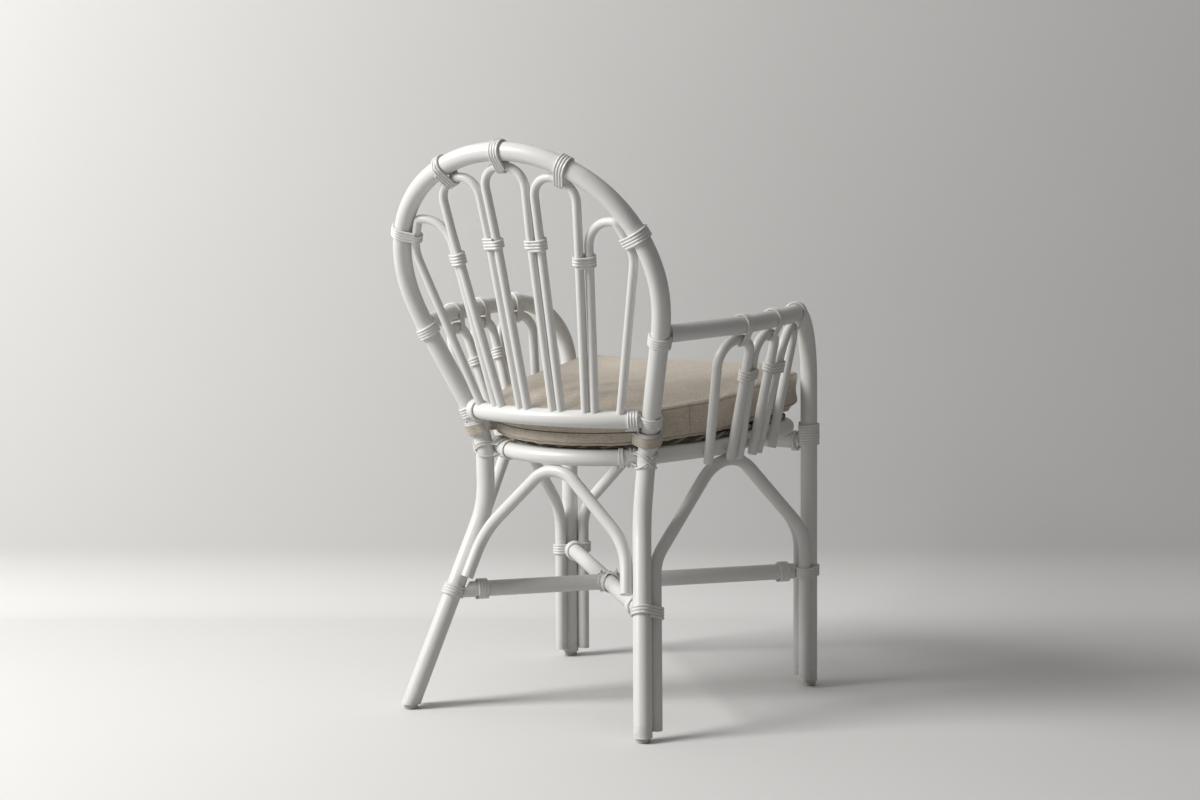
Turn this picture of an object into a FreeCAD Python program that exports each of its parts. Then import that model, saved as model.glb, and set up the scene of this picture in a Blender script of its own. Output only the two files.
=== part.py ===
import FreeCAD, Part

import math
import os

from FreeCAD import Placement, Rotation, Vector

# Painted cane armchair with a tied-on seat cushion.
# Millimetres, +Z up. The front of the chair faces -Y and its left side is at +X.
# Half widths are measured from the middle plane X = 0, and depths to the rear from
# the line midway between the front and rear feet.

SIZES = {
    # The middle of the whole chair lies this far behind the line midway between the feet
    "middle_depth": 28.45,
    # Round sections and the fit between them
    "pole_diameter": 28.5,
    "arm_diameter": 27.0,
    "rail_diameter": 27.0,
    "ring_diameter": 25.0,
    "front_rail_diameter": 25.0,
    "stretcher_diameter": 25.0,
    "arch_diameter": 19.0,
    "back_cane_diameter": 13.5,
    "arm_cane_diameter": 15.0,
    "clearance": 0.3,
    # Binding peel: its section and the step from turn to turn
    "peel_diameter": 3.6,
    "peel_step": 4.4,
    # Crossed lashings bridge the hollows of a joint and stand a little off its poles
    "lashing_slack": 1.1,
    "corner_lashing_slack": 2.1,
    "lashing_step": 4.7,
    # Crossed strands keep a tied cane this far off the hoop or the arm
    "tied_gap": 2.8,
    # Back hoop: its outline in the leaning plane from the crown down, then the rear legs
    "crown_height": 865.9,
    "crown_depth": 303.0,
    "hoop_lean_angle": 21.6,
    "crown_radius": 249.0,
    "crown_angle": 34.1,
    "shoulder_radius": 200.2,
    "shoulder_angle": 65.5,
    "flank_radius": 335.6,
    "flank_angle": 9.15,
    "knee_height": 425.0,
    "knee_radius": 150.0,
    "shin_half_width": 143.4,
    "shin_depth": 133.5,
    "shin_height": 315.0,
    "shin_radius": 170.0,
    "rear_foot_half_width": 214.2,
    "foot_depth": 245.2,
    # Arms, each running down into a front leg
    "arm_height": 598.5,
    "arm_rise_angle": 3.2,
    "arm_wide_half_width": 273.6,
    "arm_wide_depth": 44.0,
    "arm_wide_radius": 250.0,
    "arm_fore_half_width": 276.0,
    "arm_fore_depth": -95.0,
    "arm_fore_radius": 150.0,
    "arm_bend_radius": 120.0,
    "front_leg_half_width": 232.3,
    "leg_top_half_width": 230.6,
    "leg_top_depth": -237.3,
    # Back rail
    "back_rail_height": 465.5,
    "back_rail_bow": 48.0,
    # Seat ring, in a plane that rises to the front
    "seat_height": 410.7,
    "seat_rise_angle": 3.6,
    "ring_corner_angle": 56.0,
    "ring_corner_radius": 30.0,
    "ring_bow_depth": 205.0,
    "ring_bow_radius": 230.0,
    "ring_side_depth": -16.0,
    "ring_side_radius": 200.0,
    "ring_front_depth": -243.0,
    "ring_front_radius": 32.0,
    # Crossed stretchers
    "stretcher_rear_height": 181.5,
    "stretcher_front_height": 190.0,
    # Glides under the four main feet
    "glide_diameter": 21.5,
    "glide_height": 7.5,
    "glide_chamfer": 1.5,
    # Arches: where each pole stands beside its leg, and the bends
    "arch_foot_height": 14.0,
    "rear_arch_foot_height": 206.0,
    "rear_arch_bearing": 155.0,
    "rear_arch_shoulder_height": 276.0,
    "rear_arch_shoulder_radius": 105.0,
    "rear_arch_top_radius": 53.0,
    "side_arch_rear_bearing": -68.0,
    "side_arch_front_bearing": 80.0,
    "side_arch_shoulder_height": 257.0,
    "side_arch_shoulder_radius": 80.0,
    "side_arch_top_depth": -28.0,
    "side_arch_top_radius": 84.0,
    "front_arch_bearing": 200.0,
    "front_arch_shoulder_height": 258.0,
    "front_arch_shoulder_radius": 80.0,
    "front_arch_top_half_width": 90.0,
    "front_arch_top_radius": 80.0,
    # Canes of the back: where each loop meets the hoop, how far its top runs, and its feet
    "middle_loop_foot": 22.7,
    "middle_loop_waist": 31.0,
    "middle_loop_waist_height": 743.0,
    "middle_loop_reach": 37.5,
    "inner_loop_tie": 111.7,
    "inner_loop_reach_in": 52.0,
    "inner_loop_reach_out": 26.0,
    "inner_loop_foot_in": 36.7,
    "inner_loop_waist_in": 45.5,
    "inner_loop_waist_in_height": 733.0,
    "inner_loop_foot_out": 74.8,
    "inner_loop_waist_out": 113.0,
    "inner_loop_waist_out_height": 743.0,
    "outer_loop_tie": 263.0,
    "outer_loop_reach_in": 32.0,
    "outer_loop_reach_out": 22.0,
    "outer_loop_foot_in": 88.8,
    "outer_loop_crest": 128.0,
    "outer_loop_crest_height": 768.0,
    "outer_loop_foot_out": 124.9,
    "waist_radius": 300.0,
    "middle_pair_tie_height": 729.4,
    "outer_pair_tie_height": 705.6,
    # Canes under the arms
    "first_tie_depth": 47.5,
    "first_reach_rear": 44.0,
    "first_reach_front": 30.0,
    "first_foot_rear": 21.0,
    "first_foot_front": -17.0,
    "second_tie_depth": -34.6,
    "second_reach_rear": 37.0,
    "second_reach_front": 24.0,
    "second_foot_rear": -34.5,
    "second_foot_front": -68.5,
    "third_tie_depth": -124.0,
    "third_reach_rear": 45.0,
    "third_reach_front": 31.0,
    "third_foot_rear": -86.0,
    "third_foot_front": -131.0,
    "arm_cane_foot_drop": 17.5,
    "arm_cane_lean_angle": 18.0,
    "rear_arm_pair_tie_height": 527.0,
    "front_arm_pair_tie_height": 536.0,
    # Bindings of the frame joints
    "arm_joint_drop": 9.0,
    "rail_wrap_distance": 27.0,
    "front_rail_wrap_distance": 24.4,
    "front_leg_wrap_height": 413.0,
    "stretcher_wrap_distance": 45.0,
    "ring_wrap_distance": 34.0,
    # Edge rope and the deck inside it
    "rope_diameter": 9.5,
    "rope_inset": 5.0,
    "rope_corner_inset": 21.0,
    "deck_rise": 7.5,
    "deck_thickness": 3.0,
    "deck_corner_inset": 22.0,
    # Cushion
    "cushion_outset": 10.0,
    "cushion_bow_outset": 6.0,
    "cushion_corner_radius": 42.0,
    "cushion_front_radius": 20.0,
    "cushion_draw_in": 4.0,
    "cushion_draw_radius": 900.0,
    "cushion_boxing": 51.0,
    "cushion_crown": 14.0,
    "cover_thickness": 1.6,
    # Fabric bands that hold the cushion to the rear uprights
    "band_height": 438.5,
    "band_width": 20.0,
    "band_thickness": 1.8,
    "band_flap": 24.0,
    "band_slack": 0.5,
    # Nails through the feet of the arm canes
    "nail_head_diameter": 5.0,
    "nail_head_height": 1.2,
    "nail_diameter": 1.8,
    "nail_length": 23.0,
    "nail_fit": 0.1,
}

doc = FreeCAD.newDocument("cane_armchair")
sheet = doc.addObject("Spreadsheet::Sheet", "sizes")
for row, (name, value) in enumerate(SIZES.items(), start=1):
    sheet.set(f"A{row}", name)
    sheet.set(f"B{row}", str(value))
    sheet.setAlias(f"B{row}", name)
doc.recompute()

UP = Vector(0, 0, 1)
SIDES = {"left": 1, "right": -1}


def size(name):
    """A driving size, read from the sheet."""
    return float(getattr(sheet, name))


def half(name):
    return size(name) / 2


def place(half_width, depth, height):
    """The point at a half width, depth and height of the chair."""
    return Vector(half_width, depth - size("middle_depth"), height)


def mirrored(spot):
    """The same spot on the other side of the middle plane."""
    return Vector(-spot.x, spot.y, spot.z)


def on_side(spot, side):
    return spot if side > 0 else mirrored(spot)


def direction(start, end):
    """The unit direction from one point to another."""
    return (end - start).normalize()


def arc_at(before, corner, after, cut):
    """The arc that leaves the first run and joins the second at the same cut from a corner."""
    way_in = direction(before, corner)
    way_out = direction(corner, after)
    half_turn = way_in.getAngle(way_out) / 2
    inward = (way_out - way_in).normalize()
    middle = corner + inward * (cut * math.tan(half_turn / 2))
    return corner - way_in * cut, middle, corner + way_out * cut


def half_turn_at(before, corner, after):
    return direction(before, corner).getAngle(direction(corner, after)) / 2


def fitting_cuts(corners, radii):
    """How far each inner corner is cut back by its radius, or less where the runs are short."""
    cuts = []
    for before, corner, after, radius in zip(corners, corners[1:], corners[2:], radii):
        cuts.append(radius * math.tan(half_turn_at(before, corner, after)))
    runs = [0.98 * (end - start).Length for start, end in zip(corners, corners[1:])]
    taken = [0] + cuts + [0]
    shares = [min(1, run / (taken[k] + taken[k + 1])) for k, run in enumerate(runs)]
    return [cut * min(shares[k], shares[k + 1]) for k, cut in enumerate(cuts)]


def bent(corners, radii):
    """Steps along straight runs whose inner corners are rounded, each by its own radius."""
    cuts = fitting_cuts(corners, radii)
    steps = []
    start = corners[0]
    for before, corner, after, cut in zip(corners, corners[1:], corners[2:], cuts):
        arc = arc_at(before, corner, after, cut)
        steps.append((start, arc[0]))
        steps.append(arc)
        start = arc[2]
    steps.append((start, corners[-1]))
    return steps


def closed(corners, radii):
    """Steps round a closed outline with rounded corners, from the end of the last arc."""
    count = len(corners)
    ring = [corners[-1]] + corners + corners[:2]
    cuts = fitting_cuts(ring, radii + radii[:1])
    cuts[0] = min(cuts[0], cuts[-1])
    arcs = [arc_at(*ring[k : k + 3], cuts[k]) for k in range(count)]
    steps = []
    for k in range(count):
        steps.append((arcs[k - 1][2], arcs[k][0]))
        steps.append(arcs[k])
    return steps


def reversed_steps(steps):
    """The same steps, walked from the far end."""
    return [tuple(reversed(step)) for step in reversed(steps)]


def inset(corners, distances, normal):
    """A closed outline moved inward, walked clockwise as seen along its normal's tip."""
    count = len(corners)
    moved = []
    for k in range(count):
        way_in = direction(corners[k - 1], corners[k])
        way_out = direction(corners[k], corners[(k + 1) % count])
        first = way_in.cross(normal)
        second = way_out.cross(normal)
        share = distances[k] / (1 + first.dot(second))
        moved.append(corners[k] + (first + second) * share)
    return moved


class Route:
    """A path of straight runs (two points) and arcs (three points), end to end."""

    def __init__(self, steps):
        self.steps = steps
        self.edges = []
        for step in steps:
            curve = Part.Arc(*step) if len(step) == 3 else Part.LineSegment(*step)
            self.edges.append(curve.toShape())
        self.length = sum(edge.Length for edge in self.edges)

    def at(self, distance):
        """The point and the direction at a distance from the start."""
        for edge in self.edges:
            if distance <= edge.Length or edge is self.edges[-1]:
                break
            distance -= edge.Length
        parameter = edge.getParameterByLength(max(0, min(distance, edge.Length)))
        return edge.valueAt(parameter), edge.tangentAt(parameter)

    def where(self, measure, parts=120):
        """The first distance from the start at which measure(point) changes sign."""
        low = 0.0
        low_value = measure(self.at(low)[0])
        for count in range(1, parts + 1):
            high = self.length * count / parts
            if low_value * measure(self.at(high)[0]) <= 0:
                break
            low = high
        for _ in range(40):
            middle = (low + high) / 2
            if low_value * measure(self.at(middle)[0]) <= 0:
                high = middle
            else:
                low = middle
        return (low + high) / 2

    def at_height(self, height):
        """The point and the direction where the route first passes a height."""
        return self.at(self.where(lambda spot: spot.z - height))

    def wire(self):
        return Part.Wire(self.edges)

    def mirrored(self):
        """The same route on the other side, from its own start."""
        return Route([tuple(mirrored(spot) for spot in step) for step in self.steps])

    def on_side(self, side):
        return self if side > 0 else self.mirrored()

    def distance_to(self, other):
        return self.wire().distToShape(other.wire())[0]


def seated(build, value, other, distance):
    """The route that passes another one at a distance, when a rising value brings it nearer."""
    for _ in range(8):
        value += build(value).distance_to(other) - distance
    return build(value)


# Poles, their cutters and what is kept

pieces = {}


def keep(label, piece):
    """Registers a finished piece under its label."""
    piece.Label = label
    pieces[label] = piece


def swept(label, route, radius):
    """A round pole along a route, with its radius as an expression of the sheet."""
    path = doc.addObject("Part::Feature", f"{label}_path")
    path.Shape = route.wire()
    section = doc.addObject("Part::Circle", f"{label}_section")
    section.setExpression("Radius", radius)
    start, heading = route.at(0)
    section.Placement = Placement(start, Rotation(UP, heading))
    pole = doc.addObject("Part::Sweep", f"{label}_pole")
    pole.Sections = [section]
    pole.Spine = (path, [f"Edge{k + 1}" for k in range(len(route.edges))])
    pole.Solid = True
    return pole


def pole(label, route, diameter):
    return swept(label, route, f"sizes.{diameter} / 2")


def cope(label, spot, heading, diameter):
    """A round cutter along a pole that carries a binding: a pole's end seats on the turns."""
    tool = doc.addObject("Part::Cylinder", label)
    tool.setExpression(
        "Radius", f"sizes.{diameter} / 2 + sizes.peel_diameter + 2 * sizes.clearance"
    )
    tool.setExpression("Height", f"sizes.{diameter} * 6")
    start = spot - heading * (size(diameter) * 3)
    tool.Placement = Placement(start, Rotation(UP, heading))
    return tool


def trimmed(label, base, tools):
    """A piece with its cutters taken away, one after another."""
    for count, tool in enumerate(tools):
        cut = doc.addObject("Part::Cut", f"{label}_cut_{count + 1}")
        cut.Base = base
        cut.Tool = tool
        base = cut
    return base


def below(label, height):
    """A wide block under a level, which trims feet flat."""
    block = doc.addObject("Part::Box", label)
    block.setExpression("Length", "4 * sizes.foot_depth")
    block.setExpression("Width", "4 * sizes.foot_depth")
    block.setExpression("Height", f"sizes.pole_diameter + sizes.{height}")
    corner = Vector(-2 * size("foot_depth"), -2 * size("foot_depth"), -size("pole_diameter"))
    block.Placement = Placement(corner, Rotation())
    return block


main_foot_trim = below("main_foot_trim", "glide_height")
arch_foot_trim = below("arch_foot_trim", "arch_foot_height")

# Back hoop and rear legs

lean = math.radians(size("hoop_lean_angle"))
HOOP_DOWN = Vector(0, -math.sin(lean), -math.cos(lean))
CROWN = place(0, size("crown_depth"), size("crown_height"))


def hoop_point(half_width, drop):
    """A point of the leaning plane, so far down from the crown."""
    return CROWN + Vector(half_width, 0, 0) + HOOP_DOWN * drop


def hoop_half_steps():
    """The left half of the hoop from the crown to the foot."""
    steps = []
    half_width, drop, heading = 0.0, 0.0, 0.0
    for bend in ("crown", "shoulder", "flank"):
        radius = size(f"{bend}_radius")
        turn = math.radians(size(f"{bend}_angle"))
        centre_x = half_width - radius * math.sin(heading)
        centre_drop = drop + radius * math.cos(heading)
        arc = []
        for share in (0, 0.5, 1):
            angle = heading + turn * share
            across = centre_x + radius * math.sin(angle)
            arc.append(hoop_point(across, centre_drop - radius * math.cos(angle)))
        steps.append(tuple(arc))
        heading += turn
        half_width = centre_x + radius * math.sin(heading)
        drop = centre_drop - radius * math.cos(heading)
    flank_end = arc[2]
    way_down = Vector(math.cos(heading), 0, 0) + HOOP_DOWN * math.sin(heading)
    knee = flank_end + way_down * ((size("knee_height") - flank_end.z) / way_down.z)
    shin = place(size("shin_half_width"), size("shin_depth"), size("shin_height"))
    foot = place(size("rear_foot_half_width"), size("foot_depth"), 0)
    return steps + bent([flank_end, knee, shin, foot], [size("knee_radius"), size("shin_radius")])


left_half = hoop_half_steps()
HOOP_HALF = Route(left_half)
HOOP = Route(reversed_steps(HOOP_HALF.mirrored().steps) + left_half)
keep("back_hoop", trimmed("back_hoop", pole("back_hoop", HOOP, "pole_diameter"), [main_foot_trim]))


def upright(height, side=1):
    """The point and the upward direction of the hoop or its leg at a height on one side."""
    spot, heading = HOOP_HALF.at_height(height)
    return on_side(spot, side), on_side(heading, side) * -1


# Arms, which run down into the front legs


def arm_corners():
    """The corners of the left arm from the hoop forward and down to the front foot."""
    rear, _ = upright(size("arm_height"))
    rise = math.tan(math.radians(size("arm_rise_angle")))
    foot = place(size("front_leg_half_width"), -size("foot_depth"), 0)
    spots = [rear]
    for corner in ("arm_wide", "arm_fore", "leg_top"):
        spot = place(size(f"{corner}_half_width"), size(f"{corner}_depth"), 0)
        spots.append(Vector(spot.x, spot.y, rear.z + (rear.y - spot.y) * rise))
    return spots + [foot]


ARM = Route(
    bent(arm_corners(), [size(f"arm_{bend}_radius") for bend in ("wide", "fore", "bend")])
)
ARMS = {name: ARM.on_side(side) for name, side in SIDES.items()}
for name, side in SIDES.items():
    spot, heading = upright(size("arm_height"), side)
    seat = cope(f"arm_{name}_seat", spot, heading, "pole_diameter")
    arm = pole(f"arm_{name}", ARMS[name], "arm_diameter")
    keep(f"arm_{name}", trimmed(f"arm_{name}", arm, [seat, main_foot_trim]))


def front_leg(height, side=1):
    """The point and the upward direction of a front leg at a height."""
    spot, heading = ARM.at_height(height)
    return on_side(spot, side), on_side(heading, side) * -1


# Back rail: one arc between the uprights

rail_end, _ = upright(size("back_rail_height"))
rail_middle = Vector(0, rail_end.y + size("back_rail_bow"), rail_end.z)
BACK_RAIL = Route([(mirrored(rail_end), rail_middle, rail_end)])
rail_seats = []
for name, side in SIDES.items():
    spot, heading = upright(size("back_rail_height"), side)
    rail_seats.append(cope(f"back_rail_{name}_seat", spot, heading, "pole_diameter"))
rail_pole = pole("back_rail", BACK_RAIL, "rail_diameter")
keep("back_rail", trimmed("back_rail", rail_pole, rail_seats))

# Seat ring, in a plane that rises to the front

seat_rise = math.radians(size("seat_rise_angle"))
SEAT_NORMAL = Vector(0, math.sin(seat_rise), math.cos(seat_rise))
SEAT_REARWARD = Vector(0, math.cos(seat_rise), -math.sin(seat_rise))
SEAT_MIDDLE = place(0, 0, size("seat_height"))


def seat_point(half_width, depth, above=0.0):
    """A point of the seat's plane, or square above it."""
    along = depth / math.cos(seat_rise)
    across = Vector(half_width, 0, 0)
    return SEAT_MIDDLE + across + SEAT_REARWARD * along + SEAT_NORMAL * above


binding = size("peel_diameter") + 2 * size("clearance")
ring_front_height = seat_point(0, size("ring_front_depth")).z
ring_side = front_leg(ring_front_height)[0].x - half("arm_diameter") - binding - half("ring_diameter")
rear_leg_spot, _ = upright(seat_point(0, size("shin_depth")).z)
corner_angle = math.radians(size("ring_corner_angle"))


def ring_corners(corner_distance):
    """Corners of the ring from the rear middle round the left side, the front and the right."""
    corner_x = rear_leg_spot.x - corner_distance * math.cos(corner_angle)
    corner_depth = rear_leg_spot.y + size("middle_depth") - corner_distance * math.sin(corner_angle)
    left = [
        (corner_x, corner_depth),
        (ring_side, size("ring_side_depth")),
        (ring_side, size("ring_front_depth")),
    ]
    right = [(-across, depth) for across, depth in reversed(left)]
    return [seat_point(*spot) for spot in [(0, size("ring_bow_depth"))] + left + right]


RING_RADII = [size("ring_bow_radius")]
for bend in ("corner", "side", "front", "front", "side", "corner"):
    RING_RADII.append(size(f"ring_{bend}_radius"))

ring_touch = half("pole_diameter") + half("ring_diameter") + size("clearance")
corner_distance = ring_touch
for _ in range(8):
    clear = Route(closed(ring_corners(corner_distance), RING_RADII)).distance_to(HOOP)
    corner_distance += ring_touch - clear
RING_CORNERS = ring_corners(corner_distance)
RING = Route(closed(RING_CORNERS, RING_RADII))

# Front rail, right under the ring and between the front legs

rail_drop = half("ring_diameter") + half("front_rail_diameter") + size("clearance")
rail_spot, rail_leg_way = front_leg(ring_front_height - rail_drop)
FRONT_RAIL = Route([(rail_spot, mirrored(rail_spot))])
front_seats = []
for name, side in SIDES.items():
    joint = on_side(rail_spot, side), on_side(rail_leg_way, side)
    front_seats.append(cope(f"front_rail_{name}_seat", *joint, "arm_diameter"))
front_pole = pole("front_rail", FRONT_RAIL, "front_rail_diameter")
keep("front_rail", trimmed("front_rail", front_pole, front_seats))

# Arches


def beside(spot, leg_way, bearing):
    """The point beside a leg where a parallel arch pole touches it, seen from above."""
    angle = math.radians(size(bearing))
    way = Vector(math.cos(angle), math.sin(angle), 0)
    way = (way - leg_way * way.dot(leg_way)).normalize()
    leg = "pole_diameter" if spot.y > 0 else "arm_diameter"
    return spot + way * (half(leg) + half("arch_diameter") + size("clearance"))


def rear_beside(height, bearing):
    spot, leg_way = upright(height)
    return beside(spot, leg_way, bearing)


def front_beside(height, bearing):
    spot, leg_way = front_leg(height)
    return beside(spot, leg_way, bearing)


ring_clear = half("ring_diameter") + half("arch_diameter") + size("clearance")
ring_middle, _ = RING.at(RING.where(lambda spot: spot.x))
rear_shoulder = rear_beside(size("rear_arch_shoulder_height"), "rear_arch_bearing")
rear_foot = rear_beside(size("rear_arch_foot_height"), "rear_arch_bearing")

def rear_arch(apex_height):
    """The arch between the rear legs, whose top lies under the rear of the ring."""
    apex = Vector(0, ring_middle.y, apex_height)
    corners = [mirrored(rear_foot), mirrored(rear_shoulder), apex, rear_shoulder, rear_foot]
    shoulder = size("rear_arch_shoulder_radius")
    return Route(bent(corners, [shoulder, size("rear_arch_top_radius"), shoulder]))


REAR_ARCH = seated(rear_arch, size("rear_arch_shoulder_height"), RING, ring_clear)
keep("rear_arch", pole("rear_arch", REAR_ARCH, "arch_diameter"))

side_rear_foot = rear_beside(0, "side_arch_rear_bearing")
side_rear_shoulder = rear_beside(size("side_arch_shoulder_height"), "side_arch_rear_bearing")
side_front_foot = front_beside(0, "side_arch_front_bearing")
side_front_shoulder = front_beside(size("side_arch_shoulder_height"), "side_arch_front_bearing")


def side_arch(apex_height):
    """The arch between the legs of the left side, whose top lies under the ring's side."""
    top = place(0, size("side_arch_top_depth"), 0)
    run = side_front_shoulder - side_rear_shoulder
    apex = side_rear_shoulder + run * ((top.y - side_rear_shoulder.y) / run.y)
    apex.z = apex_height
    corners = [side_rear_foot, side_rear_shoulder, apex, side_front_shoulder, side_front_foot]
    shoulder = size("side_arch_shoulder_radius")
    return Route(bent(corners, [shoulder, size("side_arch_top_radius"), shoulder]))


SIDE_ARCH = seated(side_arch, size("side_arch_shoulder_height"), RING, ring_clear)
SIDE_ARCHES = {name: SIDE_ARCH.on_side(side) for name, side in SIDES.items()}
for name, route in SIDE_ARCHES.items():
    arch = pole(f"side_arch_{name}", route, "arch_diameter")
    keep(f"side_arch_{name}", trimmed(f"side_arch_{name}", arch, [arch_foot_trim]))

front_foot = front_beside(0, "front_arch_bearing")
front_shoulder = front_beside(size("front_arch_shoulder_height"), "front_arch_bearing")
front_top = Vector(
    size("front_arch_top_half_width"),
    rail_spot.y,
    rail_spot.z - half("front_rail_diameter") - half("arch_diameter") - size("clearance"),
)
front_corners = [front_foot, front_shoulder, front_top]
front_corners += [mirrored(spot) for spot in reversed(front_corners)]
front_shoulder_radius = size("front_arch_shoulder_radius")
front_top_radius = size("front_arch_top_radius")
FRONT_ARCH = Route(
    bent(
        front_corners,
        [front_shoulder_radius, front_top_radius, front_top_radius, front_shoulder_radius],
    )
)
front_arch_pole = pole("front_arch", FRONT_ARCH, "arch_diameter")
keep("front_arch", trimmed("front_arch", front_arch_pole, [arch_foot_trim]))

# Canes of the back: five loops from the back rail up to the hoop


def fitted(before, corner, after, reach):
    """The radius of a loop's top corner that its reach allows."""
    return 0.9 * reach / math.tan(half_turn_at(before, corner, after))


def rail_at(half_width):
    """The point of the back rail's axis at a half width."""
    return BACK_RAIL.at(BACK_RAIL.where(lambda spot: spot.x - half_width))[0]


def looped(foot_in, rise_in, top, way, reach_in, reach_out, rise_out, foot_out):
    """A flat loop: two legs and a top that runs both ways from the point where it is tied."""
    corners = [foot_in, *rise_in, top - way * reach_in, top + way * reach_out, *rise_out, foot_out]
    first = 1 + len(rise_in)
    radii = [size("waist_radius")] * (len(corners) - 2)
    radii[first - 1] = fitted(*corners[first - 1 : first + 2], reach_in)
    radii[first] = fitted(*corners[first : first + 3], reach_out)
    return Route(bent(corners, radii))


def hoop_tie(distance, side):
    """The top of a cane that touches the hoop from inside, and the hoop's direction there."""
    spot, way = HOOP_HALF.at(distance)
    inward = way.cross(Vector(0, math.cos(lean), -math.sin(lean))).normalize()
    if inward.z > 0:
        inward = inward * -1
    gap = half("pole_diameter") + half("back_cane_diameter") + size("tied_gap")
    return on_side(spot + inward * gap, side), on_side(way, side)


def rising(foot, top, half_width, height):
    """A point of a loop's leg, which leans steadily from its foot towards the loop's top."""
    share = (height - foot.z) / (top.z - foot.z)
    return Vector(half_width, foot.y + (top.y - foot.y) * share, height)


def middle_loop():
    foot = rail_at(size("middle_loop_foot"))
    top, way = hoop_tie(0, 1)
    waist = rising(foot, top, size("middle_loop_waist"), size("middle_loop_waist_height"))
    reach = size("middle_loop_reach")
    return looped(mirrored(foot), [mirrored(waist)], top, way, reach, reach, [waist], foot)


def inner_loop(side):
    foot_in = rail_at(size("inner_loop_foot_in"))
    foot_out = rail_at(size("inner_loop_foot_out"))
    top, way = hoop_tie(size("inner_loop_tie"), 1)
    waist_in, waist_out = (
        rising(foot, top, size(f"inner_loop_waist_{leg}"), size(f"inner_loop_waist_{leg}_height"))
        for foot, leg in ((foot_in, "in"), (foot_out, "out"))
    )
    reach_in = size("inner_loop_reach_in")
    reach_out = size("inner_loop_reach_out")
    route = looped(foot_in, [waist_in], top, way, reach_in, reach_out, [waist_out], foot_out)
    return route.on_side(side)


def outer_loop(side):
    foot_in = rail_at(size("outer_loop_foot_in"))
    foot_out = rail_at(size("outer_loop_foot_out"))
    top, way = hoop_tie(size("outer_loop_tie"), 1)
    crest = rising(foot_in, top, size("outer_loop_crest"), size("outer_loop_crest_height"))
    reach_in = size("outer_loop_reach_in")
    reach_out = size("outer_loop_reach_out")
    route = looped(foot_in, [crest], top, way, reach_in, reach_out, [], foot_out)
    return route.on_side(side)


BACK_LOOPS = {
    "1": outer_loop(1),
    "2": inner_loop(1),
    "3": middle_loop(),
    "4": inner_loop(-1),
    "5": outer_loop(-1),
}
rail_trim = swept("rail_trim", BACK_RAIL, "sizes.rail_diameter / 2 + sizes.clearance")
for number, route in BACK_LOOPS.items():
    cane = pole(f"back_loop_{number}", route, "back_cane_diameter")
    keep(f"back_loop_{number}", trimmed(f"back_loop_{number}", cane, [rail_trim]))

# Canes under the arms: three loops a side, with their feet outside the ring


def ring_side_at(depth):
    """The ring's axis on the left side at a depth, and the way out from it in the seat's plane."""
    level = place(0, depth, 0).y
    spot, way = RING.at(RING.where(lambda spot: spot.y - level))
    outward = SEAT_NORMAL.cross(way).normalize()
    return spot, outward if outward.x > 0 else outward * -1


def arm_spots(order):
    """Where an arm cane's top touches the arm, inward of its underside: both middles and
    the arm's direction."""
    level = place(0, size(f"{order}_tie_depth"), 0).y
    spot, way = ARM.at(ARM.where(lambda spot: spot.y - level))
    lean_in = math.radians(size("arm_cane_lean_angle"))
    reach = half("arm_diameter") + half("arm_cane_diameter") + size("tied_gap")
    top = spot - Vector(math.sin(lean_in), 0, math.cos(lean_in)) * reach
    return spot, top, way


def arm_loop(order):
    """A loop that hangs from the arm, whose legs run down past the ring."""
    _, top, way = arm_spots(order)
    feet = []
    for end in ("rear", "front"):
        ring_spot, outward = ring_side_at(size(f"{order}_foot_{end}"))
        gap = half("ring_diameter") + half("arm_cane_diameter") + size("clearance")
        feet.append(ring_spot + outward * gap - UP * size("arm_cane_foot_drop"))
    reach_rear = size(f"{order}_reach_rear")
    reach_front = size(f"{order}_reach_front")
    return looped(feet[0], [], top, way, reach_rear, reach_front, [], feet[1])


ORDERS = {"1": "first", "2": "second", "3": "third"}
ARM_LOOPS = {}
for number, order in ORDERS.items():
    route = arm_loop(order)
    for name, side in SIDES.items():
        ARM_LOOPS[f"{name}_{number}"] = route.on_side(side)

# Nails through the feet of the arm canes into the ring, and the holes that they fill


def nail_seats(label):
    """The head's middle and the way in for both nails of an arm loop."""
    name, number = label.split("_")
    seats = []
    for end, steps in (("rear", ARM_LOOPS[label].steps), ("front", None)):
        ring_spot, outward = ring_side_at(size(f"{ORDERS[number]}_foot_{end}"))
        ring_spot = on_side(ring_spot, SIDES[name])
        outward = on_side(outward, SIDES[name])
        route = Route(steps or reversed_steps(ARM_LOOPS[label].steps))
        cane_spot, _ = route.at_height(ring_spot.z)
        reach = half("arm_cane_diameter") + size("clearance")
        seats.append((cane_spot + outward * reach, outward * -1))
    return seats


def round_bar(label, spot, way, radius, length):
    bar = doc.addObject("Part::Cylinder", label)
    bar.setExpression("Radius", radius)
    bar.setExpression("Height", length)
    bar.Placement = Placement(spot, Rotation(UP, way))
    return bar


def nail(label, spot, way_in):
    """A nail with a low domed head."""
    shank = round_bar(f"{label}_shank", spot, way_in, "sizes.nail_diameter / 2", "sizes.nail_length")
    head = doc.addObject("Part::Cone", f"{label}_head")
    head.setExpression("Radius1", "sizes.nail_head_diameter / 2")
    head.setExpression("Radius2", "sizes.nail_diameter / 2")
    head.setExpression("Height", "sizes.nail_head_height")
    head.Placement = Placement(spot, Rotation(UP, way_in * -1))
    joined = doc.addObject("Part::Fuse", label)
    joined.Base = head
    joined.Tool = shank
    return joined


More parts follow.
